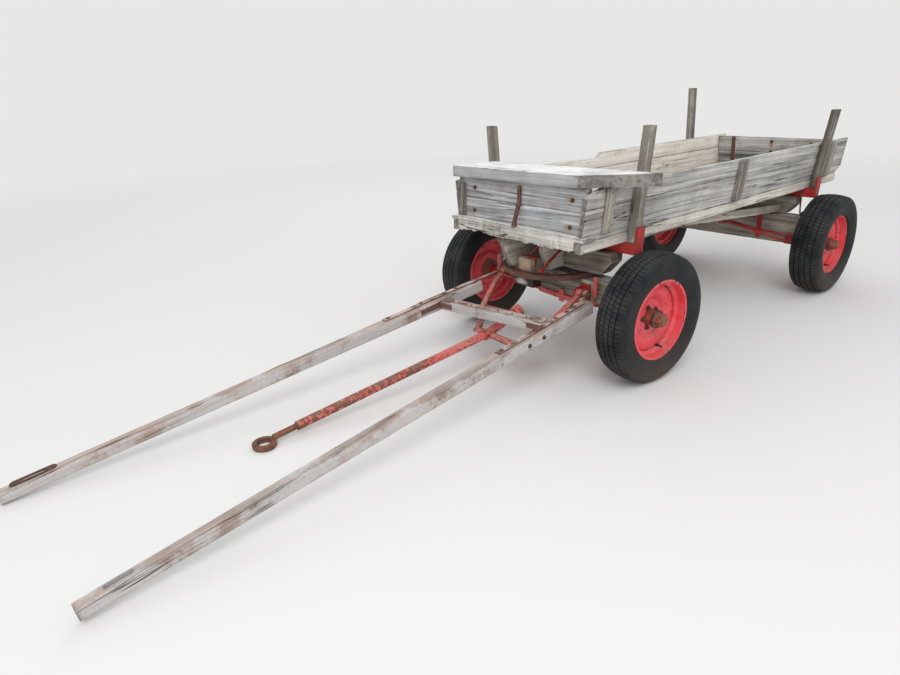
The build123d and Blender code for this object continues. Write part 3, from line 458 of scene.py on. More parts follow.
woodLooks = {
    "seatWood": {
        "Light": (192, 193, 194), "Dark": (116, 116, 117), "Bleach": 0.95, "Stain Share": 0.12,
        "Fresh Share": 0.04
    },
    "frontWood": {"Light": (216, 217, 219), "Dark": (112, 112, 114), "Stain Share": 0.25, "Fresh Share": 0.08},
    "boxWood": {"Light": (207, 206, 204), "Dark": (84, 83, 80), "Stain Share": 0.3, "Fresh Share": 0.12},
    # painted light: a lighter, warmer copy of the side boards' wood, used only on the faces of the right side
    # boards that point inward
    "innerPaintedLightWood": {
        "Light": (254, 250, 242), "Dark": (200, 192, 180), "Stain Share": 0.2, "Fresh Share": 0.25,
        "Fresh": (214, 190, 150)
    },
    "railWood": {
        "Light": (226, 222, 213), "Dark": (132, 128, 120), "Stain Share": 0.3, "Fresh Share": 0.15,
        "Bleach": 0.7
    },
    "sillWood": {
        "Light": (226, 223, 217), "Dark": (92, 86, 79), "Stain Share": 0.45, "Fresh Share": 0.12,
        "Bleach": 0.7, "Gnawed": 0.6
    },
    "battenWood": {"Light": (182, 177, 168), "Dark": (80, 75, 68), "Stain Share": 0.4, "Fresh Share": 0.15},
    "stakeWood": {"Light": (170, 165, 157), "Dark": (80, 75, 67), "Stain Share": 0.3, "Fresh Share": 0.08},
    "floorWood": {"Light": (168, 160, 148), "Dark": (104, 96, 86), "Stain Share": 0.5, "Fresh Share": 0.3},
    "gearWood": {
        "Light": (174, 168, 157), "Dark": (86, 80, 71), "Stain Share": 0.4, "Fresh Share": 0.15,
        "Bleach": 0.2
    },
    "creamWood": {
        "Light": (222, 217, 204), "Dark": (134, 128, 116), "Stain Share": 0.35, "Fresh Share": 0.15,
        "Bleach": 0.2
    },
    "shaftWood": {
        "Light": (190, 180, 172), "Dark": (106, 92, 84), "Stain Share": 0.25, "Fresh Share": 0.5,
        "Fresh": (198, 156, 136), "Bleach": 0.15, "Whitewash": 0.6
    },
}
frontNuts = ((-0.311, 0.894), (-0.317, 0.775), (0.346, 0.894), (0.335, 0.768))
nutStains = [((x - 0.007, -0.257, z), (0.040, 0.03, 0.017)) for x, z in frontNuts]
tailBolts = ((-0.0125, 0.917), (-0.009, 0.843), (0.270, 0.909))
tailStains = [((x, 2.480, z - 0.015), (0.024, 0.03, 0.045)) for x, z in tailBolts]
stains = {"frontBoardWood": nutStains, "tailWood": tailStains}
woodLooks["frontBoardWood"] = woodLooks["frontWood"]
woodLooks["tailWood"] = woodLooks["boxWood"]
materials = {name: woodMaterial(name, look, stains.get(name, ())) for name, look in woodLooks.items()}
reachEnd = [((0.0, -0.205, 0.520), (0.075, 0.030, 0.060))]
materials["reachWood"] = woodMaterial("reachWood", woodLooks["gearWood"], reachEnd, (196, 164, 140), 0.8)
stubPatch = [((-0.150, -0.080, 0.368), (0.062, 0.060, 0.026))]
ironLooks = {
    "redPaint": (paintGroup, {"Rust Share": 0.42, "Paint": (174, 30, 32), "Faded": (178, 60, 54)}, {}),
    "wornRed": (
        paintGroup,
        {"Rust Share": 0.62, "Fade Share": 0.7, "Paint": (192, 66, 60), "Faded": (208, 112, 104)}, {}
    ),
    "drawbarRed": (
        paintGroup,
        {"Fade Share": 0.8, "Paint": (204, 78, 76), "Faded": (218, 122, 116), "Rust": (112, 82, 76)},
        {"rustFrom": (-0.70, -0.88, 0.60, 1.0)}
    ),
    "wornStrap": (
        paintGroup,
        {
            "Rust Share": 0.5, "Fade Share": 0.5, "Paint": (100, 68, 62), "Faded": (124, 92, 86),
            "Rust": (112, 76, 66), "Dust": (208, 190, 181), "Dust Share": 0.85
        },
        {}
    ),
    "wheelRed": (
        paintGroup,
        {
            "Rust Share": 0.2, "Fade Share": 0.65, "Paint": (230, 50, 60), "Faded": (232, 108, 116),
            "Dust Share": 0.45
        },
        {}
    ),
    "rust": (rustGroup, {}, {}),
    "darkRust": (rustGroup, {"Base": (74, 50, 46), "Bright": (116, 74, 60)}, {}),
    "hubRust": (rustGroup, {"Base": (118, 72, 58), "Bright": (172, 106, 80), "Paint Trace": 0.4}, {}),
    "darkIron": (rustGroup, {"Base": (58, 50, 48), "Bright": (96, 74, 66)}, {}),
    "blackWood": (
        paintGroup,
        {
            "Paint": (34, 34, 37), "Faded": (70, 68, 66), "Rust": (120, 108, 96), "Rust Share": 0.35,
            "Dust Share": 0.4
        },
        {"spots": stubPatch}
    ),
}
for name, (groupTree, look, extra) in ironLooks.items():
    materials[name] = ironMaterial(name, groupTree, look, **extra)
print("materials made:", len(materials))


def putAttribute(mesh, name, kind, values, domain="POINT"):
    field = "vector" if kind == "FLOAT_VECTOR" else "value"
    mesh.attributes.new(name, kind, domain).data.foreach_set(field, np.array(values, np.float32).ravel())


def addObject(name, data):
    made = bpy.data.objects.new(name, data)
    bpy.context.scene.collection.objects.link(made)
    return made


def shadeSmooth(mesh, sharpAngle):
    mesh.polygons.foreach_set("use_smooth", np.ones(len(mesh.polygons), bool))
    mesh.set_sharp_from_angle(angle=math.radians(sharpAngle))


def cornerTitle(corner):
    end, side = corner.split("_")
    return end + side.capitalize()


# every CAD part is merged, split into its boards or bars, worn at its edges and rebuilt as a new piece
def splitBoards(mesh):
    whole = bmesh.new()
    whole.from_mesh(mesh)
    bmesh.ops.remove_doubles(whole, verts=whole.verts, dist=2e-5)
    bmesh.ops.dissolve_limit(
        whole, angle_limit=math.radians(1.2), use_dissolve_boundaries=False, verts=whole.verts,
        edges=whole.edges, delimit={"NORMAL"}
    )
    whole.faces.ensure_lookup_table()
    seen, boards = set(), []
    for face in whole.faces:
        if face.index in seen:
            continue
        found, waiting = [], [face]
        seen.add(face.index)
        while waiting:
            here = waiting.pop()
            found.append(here)
            for edge in here.edges:
                for other in edge.link_faces:
                    if other.index not in seen:
                        seen.add(other.index)
                        waiting.append(other)
        board, vertMap = bmesh.new(), {}
        for part in found:
            for vert in part.verts:
                if vert not in vertMap:
                    vertMap[vert] = board.verts.new(vert.co)
        for part in found:
            board.faces.new([vertMap[vert] for vert in part.verts])
        board.normal_update()
        boards.append(board)
    whole.free()
    return boards


def boardAxes(board):
    # along the grain, across it, and through the board's thickness
    longest = max(board.edges, key=lambda edge: edge.calc_length())
    grain = (longest.verts[0].co - longest.verts[1].co).normalized()
    areas = []
    for face in board.faces:
        if abs(face.normal.dot(grain)) < 0.3:
            areas.append((face.calc_area(), face.normal))
    thick = max(areas, key=lambda pair: pair[0])[1] if areas else grain.orthogonal()
    thick = (thick - grain * thick.dot(grain)).normalized()
    if thick.dot(Vector((0.3, 0.2, 1.0))) < 0:
        thick = -thick
    return grain, thick.cross(grain).normalized(), thick


def sharpSegments(board, angle):
    edges = [edge for edge in board.edges if len(edge.link_faces) == 2 and edge.calc_face_angle(0) > angle]
    lines = np.array([[tuple(edge.verts[0].co), tuple(edge.verts[1].co)] for edge in edges])
    return edges, lines


def distanceToLines(points, lines):
    nearest = np.full(len(points), 1.0)
    if len(lines) == 0:
        return nearest
    for start in range(0, len(lines), 64):
        first, second = lines[start:start + 64, 0], lines[start:start + 64, 1]
        along = second - first
        offset = points[:, None, :] - first[None]
        share = np.clip(
            np.einsum("ijk,jk->ij", offset, along) / np.maximum(np.einsum("jk,jk->j", along, along), 1e-12),
            0, 1
        )
        gap = offset - share[..., None] * along[None]
        nearest = np.minimum(nearest, np.sqrt(np.einsum("ijk,ijk->ij", gap, gap)).min(axis=1))
    return nearest


def sliceBoard(board, axes, spacing, most):
    for axis, step in zip(axes, spacing):
        reach = [vert.co.dot(axis) for vert in board.verts]
        low, high = min(reach), max(reach)
        if high - low < 0.004:
            continue
        count = min(most, max(2, round((high - low) / step)))
        for index in range(1, count):
            at = low + (high - low) * index / count
            bmesh.ops.bisect_plane(
                board, geom=board.verts[:] + board.edges[:] + board.faces[:], dist=1e-6, plane_co=axis * at,
                plane_no=axis
            )


dentScale, chipScale, sharpEdge = 9.0, 26.0, 28  # the last in degrees


def wearBoard(board, lines, work, seed):
    # only ever inward, so the piece stays inside the CAD part's space
    board.normal_update()
    points = np.array([tuple(vert.co) for vert in board.verts])
    near = distanceToLines(points, lines)
    drift = Vector((seed * 1.7, seed * 0.9, seed * 2.3))
    for vert, gap in zip(board.verts, near):
        spot = vert.co + drift
        swell = 0.5 + 0.5 * noise.noise(spot * dentScale)
        depth = work["dent"] * swell
        edge = max(0.0, 1.0 - gap / edgeReach)
        if edge:
            bite = noise.noise(spot * chipScale) + 0.5 * noise.noise(spot * chipScale * 2.7)
            depth += edge * (
                work["fray"] * (0.5 + 0.5 * noise.noise(spot * 60.0)) + work["chip"] * max(0.0, bite - 0.22)
            )
        vert.co -= vert.normal * depth
    return near


def splinterFoot(board, depth):
    # the lower edge is gnawed away in bites of its own width
    low, footHeight = min(vert.co.z for vert in board.verts), 0.034
    for vert in board.verts:
        share = max(0.0, 1 - (vert.co.z - low) / footHeight)
        long = noise.noise(Vector((vert.co.x * 6.0, 3.0, 1.0)))
        short = noise.noise(Vector((vert.co.x * 24.0, vert.co.y * 9.0, 5.0)))
        fine = noise.noise(Vector((vert.co.x * 85.0, vert.co.y * 20.0, 7.0)))
        vert.co.z += share * depth * min(1.0, max(0.0, 0.30 + 0.85 * long + 0.45 * short + 0.35 * fine))


def gatherPiece(name, body, parts, materialNames, sharpAngle):
    # parts holds one worked board each, joined here as one mesh with its attributes
    verts, faces, grainPos, tones, edgeGaps, ends, slots = [], [], [], [], [], [], []
    for part in parts:
        base = len(verts)
        board = part["board"]
        board.verts.ensure_lookup_table()
        grain, wide, thick = part["axes"]
        for vert, gap in zip(board.verts, part["near"]):
            offset = vert.co - part["centre"]
            verts.append(tuple(vert.co))
            grainPos.extend(
                (
                    offset.dot(thick) + part["shift"][0],
                    offset.dot(wide) + part["shift"][1] + offset.dot(grain) * part["slope"],
                    offset.dot(grain) + part["shift"][2]
                )
            )
            tones.append(part["tone"])
            edgeGaps.append(gap)
        for face in board.faces:
            faces.append([vert.index + base for vert in face.verts])
            ends.append(1.0 if abs(face.normal.dot(grain)) > part["endLimit"] else 0.0)
            # faces that point along the inward direction take the second material, which for the right side boards
            # is the painted light copy
            slots.append(1 if part["inward"] and face.normal.dot(Vector(part["inward"])) > 0.6 else 0)
        board.free()
    mesh = bpy.data.meshes.new(name)
    mesh.from_pydata(verts, [], faces)
    putAttribute(mesh, "grainPos", "FLOAT_VECTOR", grainPos)
    putAttribute(mesh, "boardTone", "FLOAT", tones)
    putAttribute(mesh, "edgeDistance", "FLOAT", edgeGaps)
    putAttribute(mesh, "endGrain", "FLOAT", ends, "FACE")
    for materialName in materialNames:
        mesh.materials.append(materials[materialName])
    mesh.polygons.foreach_set("material_index", np.array(slots, np.int32))
    mesh.update()
    shadeSmooth(mesh, sharpAngle)
    piece = addObject(name, mesh)
    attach(piece, body)
    return piece


def workBoard(board, work, dice, order):
    bmesh.ops.recalc_face_normals(board, faces=board.faces)
    axes = boardAxes(board)
    centre = sum((vert.co for vert in board.verts), Vector()) / len(board.verts)
    edges, lines = sharpSegments(board, math.radians(sharpEdge))
    if work["bevel"] and edges:
        bmesh.ops.bevel(
            board, geom=edges, offset=work["bevel"], offset_type="OFFSET", segments=2, profile=0.5,
            affect="EDGES", clamp_overlap=True
        )
    sliceBoard(board, axes, work["spacing"], work.get("mostSlices", 200))
    if "ragged" in work:
        splinterFoot(board, work["ragged"])
    near = wearBoard(board, lines, work, order + dice.random() * 9)
    board.normal_update()
    return {
        "board": board,
        "axes": axes,
        "near": near,
        "centre": centre,
        "shift": (dice.uniform(0.05, 0.16), dice.uniform(-0.05, 0.05), dice.uniform(0.0, 60.0)),
        "slope": dice.uniform(-0.03, 0.03),
        "tone": dice.random(),
        "endLimit": work.get("endLimit", 0.8),
        "inward": work.get("inward"),
    }


def agePart(nodeName, work):
    dice = random.Random(nodeName)
    parts = []
    for order, board in enumerate(splitBoards(frame["nodes"][nodeName].data)):
        parts.append(workBoard(board, work, dice, order))
    materialNames = [work["material"]] + ([work["inner"]] if "inner" in work else [])
    piece = gatherPiece(work["name"], nodeBody[nodeName], parts, materialNames, work.get("sharp", 38))
    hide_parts(nodeName)
    return piece


longBoard = (0.036, 0.034, 0.022)
ironBar = (0.030, 0.016, 0.016)
timberSettings = {
    "floor_boards": {"name": "floorPlanks", "material": "floorWood"},
    "side_rails": {"name": "sideRails", "material": "railWood"},
    "front_sill": {
        "name": "frontSill", "material": "sillWood", "chip": 0.006, "fray": 0.003, "ragged": 0.020,
        "spacing": (0.006, 0.022, 0.016)
    },
    "rear_sill": {"name": "rearSill", "material": "sillWood", "chip": 0.006},
    "side_boards_left": {"name": "leftSidePlanks", "material": "boxWood"},
    # the right side boards' faces that point inward take the lighter, warmer inner wood: painted light
    "side_boards_right": {
        "name": "rightSidePlanks", "material": "boxWood", "inner": "innerPaintedLightWood", "inward": (1, 0, 0)
    },
    "front_board": {"name": "frontPlanks", "material": "frontBoardWood"},
    "tail_board": {"name": "tailPlanks", "material": "tailWood"},
    "side_battens": {"name": "sideBattens", "material": "battenWood", "bevel": 0.005, "dent": 0.0022},
    "plank_seat": {"name": "seatPlanks", "material": "seatWood", "endLimit": 0.6},
    "stake_front_left": {"name": "frontLeftStake", "material": "stakeWood"},
    "stake_front_right": {"name": "frontRightStake", "material": "stakeWood"},
    "stake_rear_left": {"name": "rearLeftStake", "material": "stakeWood"},
    "stake_rear_right": {"name": "rearRightStake", "material": "stakeWood"},
    # painted shade: the front bolster takes the darker gear wood, not the cream wood of the sway boards, to darken
    # its shaded front
    "front_bolster": {"name": "frontBolster", "material": "gearWood"},
    "rear_bolster": {"name": "rearBolster", "material": "gearWood"},
    "sway_boards": {"name": "swayBoards", "material": "creamWood"},
    "reach_pole": {"name": "reachPole", "material": "reachWood"},
    "rear_axle_timber": {"name": "rearAxleTimber", "material": "gearWood"},
    "front_axle_timber": {"name": "frontAxleTimber", "material": "gearWood"},
    "hinge_blocks": {"name": "hingeBlocks", "material": "creamWood"},
    "tongue_stub": {"name": "tongueStub", "material": "blackWood", "slot": "black_paint"},
    "shaft_left": {"name": "leftShaft", "material": "shaftWood", "slot": "wood_pale"},
    "shaft_right": {"name": "rightShaft", "material": "shaftWood", "slot": "wood_pale"},
    "shaft_crossbar": {"name": "shaftCrossbar", "material": "shaftWood", "slot": "wood_pale"},
}
for work in timberSettings.values():
    for key, value in {
        "bevel": 0.0022, "dent": 0.0009, "fray": 0.0012, "chip": 0.004, "spacing": longBoard,
        "slot": "wood_grey"
    }.items():
        work.setdefault(key, value)
ironSettings = {
    "bolster_irons": {"name": "bolsterIrons", "material": "redPaint", "slot": "red_paint"},
    "upper_turntable_ring": {"name": "upperRing", "material": "darkRust", "slot": "rusty_iron"},
    "lower_turntable_ring": {"name": "lowerRing", "material": "darkRust", "slot": "rusty_iron"},
    "rear_braces": {"name": "rearBraces", "material": "redPaint", "slot": "red_paint"},
    "king_pin": {"name": "kingPin", "material": "rust", "slot": "rusty_iron"},
    "rear_axle": {"name": "rearAxle", "material": "redPaint", "slot": "red_paint"},
    "front_axle": {"name": "frontAxle", "material": "redPaint", "slot": "red_paint"},
    "front_hook": {"name": "frontHook", "material": "darkRust", "slot": "rusty_iron"},
    "hinge_lugs": {"name": "hingeLugs", "material": "redPaint", "slot": "red_paint"},
    "hinge_pins": {"name": "hingePins", "material": "rust", "slot": "rusty_iron"},
    "drawbar_yoke": {"name": "drawbarYoke", "material": "drawbarRed", "slot": "red_paint"},
    "drawbar_eye": {"name": "drawbarEye", "material": "rust", "slot": "rusty_iron"},
    "shaft_irons": {"name": "shaftIrons", "material": "wornStrap", "slot": "rusty_iron"},
}
for corner in ("front_left", "front_right", "rear_left", "rear_right"):
    title = cornerTitle(corner)
    ironSettings["rim_" + corner] = {"name": title + "Rim", "material": "wheelRed", "slot": "red_paint"}
    ironSettings["hub_" + corner] = {"name": title + "Hub", "material": "hubRust", "slot": "rusty_iron"}
for work in ironSettings.values():
    for key, value in {
        "bevel": 0.0, "dent": 0.0003, "fray": 0.0002, "chip": 0.0, "spacing": ironBar, "mostSlices": 60,
        "sharp": 34
    }.items():
        work.setdefault(key, value)
for nodeName, work in {**timberSettings, **ironSettings}.items():
    if nodeName in nodeBody:
        agePart(nodeName, work)
print("timber and iron done")


# bars, straps, rods and loose boards, swept along their own paths
def barProfile(bar):
    if "radius" in bar:
        turns = [2 * math.pi * step / 10 for step in range(10)]
        return [(bar["radius"] * math.cos(turn), bar["radius"] * math.sin(turn)) for turn in turns]
    wide, thick = bar["size"][0] / 2, bar["size"][1] / 2
    nip = bar.get("nip", 0.22) * min(wide, thick)
    if not nip:
        return [(wide, thick), (-wide, thick), (-wide, -thick), (wide, -thick)]
    corners = []
    for sideX, sideY in ((1, 1), (-1, 1), (-1, -1), (1, -1)):
        pair = [(sideX * wide, sideY * (thick - nip)), (sideX * (wide - nip), sideY * thick)]
        corners += pair if sideX == sideY else pair[::-1]
    return corners


def sweepBar(built, bar):
    path = [Vector(spot) for spot in bar["path"]]
    upright = Vector(bar.get("up", (0.0, 0.0, 1.0)))
    profile, rings = barProfile(bar), []
    for index, spot in enumerate(path):
        ahead = (path[min(index + 1, len(path) - 1)] - path[min(index, len(path) - 2)]).normalized()
        behind = (path[max(index, 1)] - path[max(index - 1, 0)]).normalized()
        along = (ahead + behind).normalized()
        bend = ahead - behind
        bend = bend.normalized() if bend.length > 1e-4 else Vector()
        stretch = 1 / max(0.5, along.dot(ahead)) - 1
        out = (upright - along * upright.dot(along)).normalized()
        across = along.cross(out)
        ring = []
        for first, second in profile:
            offset = across * first + out * second
            ring.append(built.verts.new(spot + offset + bend * offset.dot(bend) * stretch))
        rings.append(ring)
    for low, high in zip(rings, rings[1:]):
        for index in range(len(profile)):
            follow = (index + 1) % len(profile)
            built.faces.new((low[index], low[follow], high[follow], high[index]))
    built.faces.new(rings[0][::-1])
    built.faces.new(rings[-1])


def slotPlate(built, plate):
    # a thin plate with rounded ends and a slot through it
    centre, along, normal = Vector(
        plate["centre"]
    ), Vector(plate["along"]).normalized(), Vector(plate["normal"]).normalized()
    across, sides = normal.cross(along), 32

    def loop(length, width, lift):
        ring = []
        for step in range(sides):
            turn = 2 * math.pi * (step + 0.5) / sides
            reach = math.copysign((length - width) / 2, math.cos(turn)) + math.cos(turn) * width / 2
            ring.append(
                built.verts.new(
                    centre + along * reach + across * (math.sin(turn) * width / 2) + normal * lift
                )
            )
        return ring

    outer, inner = plate["outer"], plate["inner"]
    loops = [loop(*outer, 0.0), loop(*outer, plate["thick"]), loop(*inner, plate["thick"]), loop(*inner, 0.0)]
    for first, second in zip(loops, loops[1:] + loops[:1]):
        for step in range(sides):
            follow = (step + 1) % sides
            built.faces.new((first[step], first[follow], second[follow], second[step]))


def finishPiece(name, built, body, materialName, sharpAngle=34):
    bmesh.ops.recalc_face_normals(built, faces=built.faces)
    mesh = bpy.data.meshes.new(name)
    built.to_mesh(mesh)
    built.free()
    putAttribute(mesh, "edgeDistance", "FLOAT", [edgeReach] * len(mesh.vertices))
    mesh.materials.append(materials[materialName])
    shadeSmooth(mesh, sharpAngle)
    piece = addObject(name, mesh)
    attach(piece, body)
    return piece


shaftSettings = {
    "hinge": (0.0, -0.072, 0.4), "tilt": 7.284, "rearMiddle": 0.350, "tipMiddle": 0.425, "rearGap": 0.046,
    "length": 2.4096, "slip": 0.095
}


def shaftSpot(across, ahead, lift):
    # a point in the plane of the shafts, ahead of the hinge line and above it
    tilt = math.radians(shaftSettings["tilt"])
    hinge = shaftSettings["hinge"]
    return (
        across, hinge[1] - ahead * math.cos(tilt) - lift * math.sin(tilt),
        hinge[2] - ahead * math.sin(tilt) + lift * math.cos(tilt)
    )


def shaftMiddle(side, ahead):
    share = (
        ahead - shaftSettings["rearGap"] - (shaftSettings["slip"] if side < 0 else 0)
    ) / shaftSettings["length"]
    return side * (
        shaftSettings["rearMiddle"] + (shaftSettings["tipMiddle"] - shaftSettings["rearMiddle"]) * share
    )


shaftUp = tuple(Vector(shaftSpot(0, 0, 1)) - Vector(shaftSpot(0, 0, 0)))
barSettings = {
    "reachStrap": {"body": "bed", "slot": "red_paint", "material": "redPaint", "bars": [
        {
            "size": (0.018, 0.006),
            "path": [
                (-0.0435, -0.165, 0.530), (-0.0435, -0.165, 0.5575), (0.0435, -0.165, 0.5575),
                (0.0435, -0.165, 0.481)
            ]
        },
        {"radius": 0.0065, "path": [(0.1170, -0.207, 0.508), (0.1170, -0.060, 0.590)]},
        {"radius": 0.0095, "path": [(0.1105, -0.206, 0.508), (0.1270, -0.206, 0.508)]},
        {"radius": 0.0055, "path": [(0.050, -0.212, 0.587), (0.060, -0.155, 0.622)]},
    ]},
    "tailStrap": {"body": "bed", "slot": "rusty_iron", "material": "darkRust", "bars": [
        {"size": (0.028, 0.004), "up": (0, -1, 0), "path": [(-0.306, 2.477, 0.946), (-0.295, 2.477, 0.735)]},
    ]},
    "rearStays": {"body": "bed", "slot": "red_paint", "material": "redPaint", "bars": [
        {"size": (0.030, 0.005), "up": (0, -1, 0), "path": [(0.205, 1.978, 0.312), (0.205, 1.978, 0.474)]},
        {"radius": 0.0075, "path": [(0.060, 1.775, 0.452), (0.217, 1.962, 0.372), (0.462, 1.966, 0.360)]},
    ]},
    "rearHook": {"body": "bed", "slot": "rusty_iron", "material": "darkRust", "bars": [
        {
            "radius": 0.005, "up": (1, 0, 0),
            "path": [
                (0.43, 2.035, 0.662), (0.444, 2.012, 0.62), (0.448, 2.008, 0.56), (0.448, 2.02, 0.51),
                (0.448, 2.046, 0.49), (0.448, 2.06, 0.51)
            ]
        },
    ]},
    "axleStraps": {"body": "forecarriage", "slot": "red_paint", "material": "wornRed", "bars": [
        {
            "size": (0.026, 0.007), "up": (0, -1, 0),
            "path": [(-0.05, -0.031, 0.340), (0.177, -0.046, 0.331), (0.36, -0.058, 0.347)]
        },
        {"size": (0.030, 0.008), "up": (0, -1, 0), "path": [(0.115, -0.039, 0.305), (0.115, -0.039, 0.372)]},
        {"size": (0.026, 0.006), "up": (0, -1, 0), "path": [(-0.372, -0.020, 0.330), (-0.372, -0.020, 0.465)]},
        {"size": (0.022, 0.010), "up": (0, -1, 0), "path": [(0.352, -0.068, 0.385), (0.356, -0.068, 0.492)]},
    ]},
    "shaftStraps": {"body": "shafts", "slot": "rusty_iron", "material": "wornStrap", "bars": [
        {"size": (0.032, 0.005), "path": [(0.3622, 0.462, -0.0102), (0.3695, 0.700, -0.0112)]},
        {"size": (0.032, 0.005), "path": [(-0.3622, 0.557, -0.0102), (-0.3695, 0.795, -0.0112)]},
    ]},
    "crossbarIrons": {"body": "shafts", "slot": "rusty_iron", "material": "wornStrap", "bars": [
        {"size": (0.022, 0.003), "path": [(0.318, 0.332, -0.0195), (-0.318, 0.427, -0.0195)]},
        {"size": (0.046, 0.003), "path": [(0.318, 0.330, -0.0178), (0.262, 0.338, -0.0178)]},
        {"size": (0.046, 0.003), "path": [(-0.318, 0.428, -0.0178), (-0.262, 0.420, -0.0178)]},
        {"size": (0.004, 0.030), "path": [(0.326, 0.3607, -0.044), (0.235, 0.3738, -0.044)]},
        {
            "size": (0.004, 0.030),
            "path": [(-0.245, 0.4428, -0.044), (-0.3288, 0.4549, -0.044), (-0.3326, 0.580, -0.044)]
        },
    ]},
}
for name, work in barSettings.items():
    built = bmesh.new()
    for bar in work["bars"]:
        if work["body"] == "shafts":
            bar = {**bar, "up": shaftUp, "path": [shaftSpot(*spot) for spot in bar["path"]]}
        sweepBar(built, bar)
    finishPiece(name, built, work["body"], work["material"])
slotPlates = bmesh.new()
slotAhead = 2.4206
shaftDirection = Vector(
    shaftSpot(shaftMiddle(-1, 2.4), 2.4, 0)
) - Vector(shaftSpot(shaftMiddle(-1, 0.4), 0.4, 0))
plateSpot = shaftSpot(shaftMiddle(-1, slotAhead), slotAhead, -0.047 + 0.0276)
slotPlate(
    slotPlates,
    {
        "centre": plateSpot, "along": shaftDirection, "normal": shaftUp, "outer": (0.165, 0.036),
        "inner": (0.086, 0.0195), "thick": 0.003
    }
)
finishPiece("slotPlate", slotPlates, "shafts", "darkRust")

boardSettings = {
    "looseBoard": {
        "body": "bed", "material": "creamWood", "slot": "wood_grey", "up": (1, 0, 0),
        "size": (0.050, 0.020), "path": [(0.300, 0.800, 0.6235), (0.300, 2.048, 0.521)]
    },
    "cornerCleat": {
        "body": "bed", "material": "stakeWood", "slot": "wood_grey", "up": (0, -1, 0),
        "size": (0.046, 0.016), "path": [(-0.407, -0.2655, 0.742), (-0.400, -0.2655, 0.915)]
    },
}
for name, work in boardSettings.items():
    work = {
        "bevel": 0.002, "dent": 0.0009, "fray": 0.0012, "chip": 0.003, "spacing": (0.034, 0.02, 0.012),
        "nip": 0, **work
    }
    board = bmesh.new()
    sweepBar(board, work)
    gathered = gatherPiece(
        name, work["body"], [workBoard(board, work, random.Random(name), 0)], [work["material"]], 38
    )
print("bars and boards done")


# bolts, nuts and nails: a node tree sets a turned head on every marked point
fastenerInputs = (
    "Head Sides", "Head Radius", "Head Top", "Head Height", "Washer Radius", "Washer Height", "Stud Radius",
    "Stud Height"
)


def makeFastenerTree():
    tree = bpy.data.node_groups.new("setFasteners", "GeometryNodeTree")
    tree.interface.new_socket(name="Marks", in_out="INPUT", socket_type="NodeSocketGeometry")
    for label in fastenerInputs:
        kind = "NodeSocketInt" if label == "Head Sides" else "NodeSocketFloat"
        tree.interface.new_socket(name=label, in_out="INPUT", socket_type=kind)
    tree.interface.new_socket(name="Seed", in_out="INPUT", socket_type="NodeSocketInt")
    tree.interface.new_socket(name="Finish", in_out="INPUT", socket_type="NodeSocketMaterial")
    tree.interface.new_socket(name="Fasteners", in_out="OUTPUT", socket_type="NodeSocketGeometry")
    given, out = tree.nodes.new("NodeGroupInput").outputs, tree.nodes.new("NodeGroupOutput").inputs

    def cone(part, sides, top):
        values = {
            "Vertices": sides, "Radius Bottom": given[part + " Radius"], "Radius Top": top,
            "Depth": given[part + " Height"]
        }
        return addNode(tree, "GeometryNodeMeshCone", values)

    head = cone("Head", given["Head Sides"], given["Head Top"])
    washer = cone("Washer", 16, times(tree, given["Washer Radius"], 0.93))
    stud = cone("Stud", 10, times(tree, given["Stud Radius"], 0.85))
    joined = tree.nodes.new("GeometryNodeJoinGeometry")
    for part in (stud, washer, head):
        tree.links.new(part.outputs["Mesh"], joined.inputs[0])
    facing = addNode(
        tree, "GeometryNodeInputNamedAttribute", {"Name": "facing"}, data_type="FLOAT_VECTOR"
    ).outputs["Attribute"]
    size = addNode(
        tree, "GeometryNodeInputNamedAttribute", {"Name": "size"}, data_type="FLOAT"
    ).outputs["Attribute"]
    aimed = addNode(tree, "FunctionNodeAlignRotationToVector", {"Vector": facing}, axis="Z").outputs[0]
    placed = addNode(
        tree, "GeometryNodeInstanceOnPoints",
        {"Points": given["Marks"], "Instance": joined.outputs[0], "Rotation": aimed, "Scale": size}
    ).outputs[0]
    twist = addNode(
        tree, "FunctionNodeRandomValue", {0: (0, 0, 0), 1: (0, 0, 6.28), "Seed": given["Seed"]},
        data_type="FLOAT_VECTOR"
    ).outputs[0]
    turned = addNode(
        tree, "GeometryNodeRotateInstances", {"Instances": placed, "Rotation": twist, "Local Space": True}
    ).outputs[0]
    plain = addNode(tree, "GeometryNodeRealizeInstances", {0: turned}).outputs[0]
    plain = addNode(
        tree, "GeometryNodeStoreNamedAttribute",
        {"Geometry": plain, "Name": "edgeDistance", "Value": edgeReach}, data_type="FLOAT", domain="POINT"
    ).outputs[0]
    finished = addNode(
        tree, "GeometryNodeSetMaterial", {"Geometry": plain, "Material": given["Finish"]}
    ).outputs[0]
    tree.links.new(finished, out[0])
    return tree


fastenerStyles = {
    "hexNut": (6, 0.0105, 0.0100, 0.0080, 0.0150, 0.0022, 0.0052, 0.0135),
    "domeHead": (14, 0.0120, 0.0058, 0.0050, 0.0124, 0.0008, 0.0030, 0.0054),
    "nailHead": (9, 0.0036, 0.0030, 0.0010, 0.0038, 0.0004, 0.0010, 0.0012),
    "wheelCone": (18, 0.0130, 0.0100, 0.0050, 0.0135, 0.0008, 0.0060, 0.0070),
    "wheelNut": (6, 0.0098, 0.0092, 0.0120, 0.0100, 0.0010, 0.0055, 0.0150),
    "valveStub": (10, 0.0045, 0.0040, 0.0300, 0.0070, 0.0100, 0.0030, 0.0340),
}
fastenerTree, fastenerSeed = makeFastenerTree(), 3


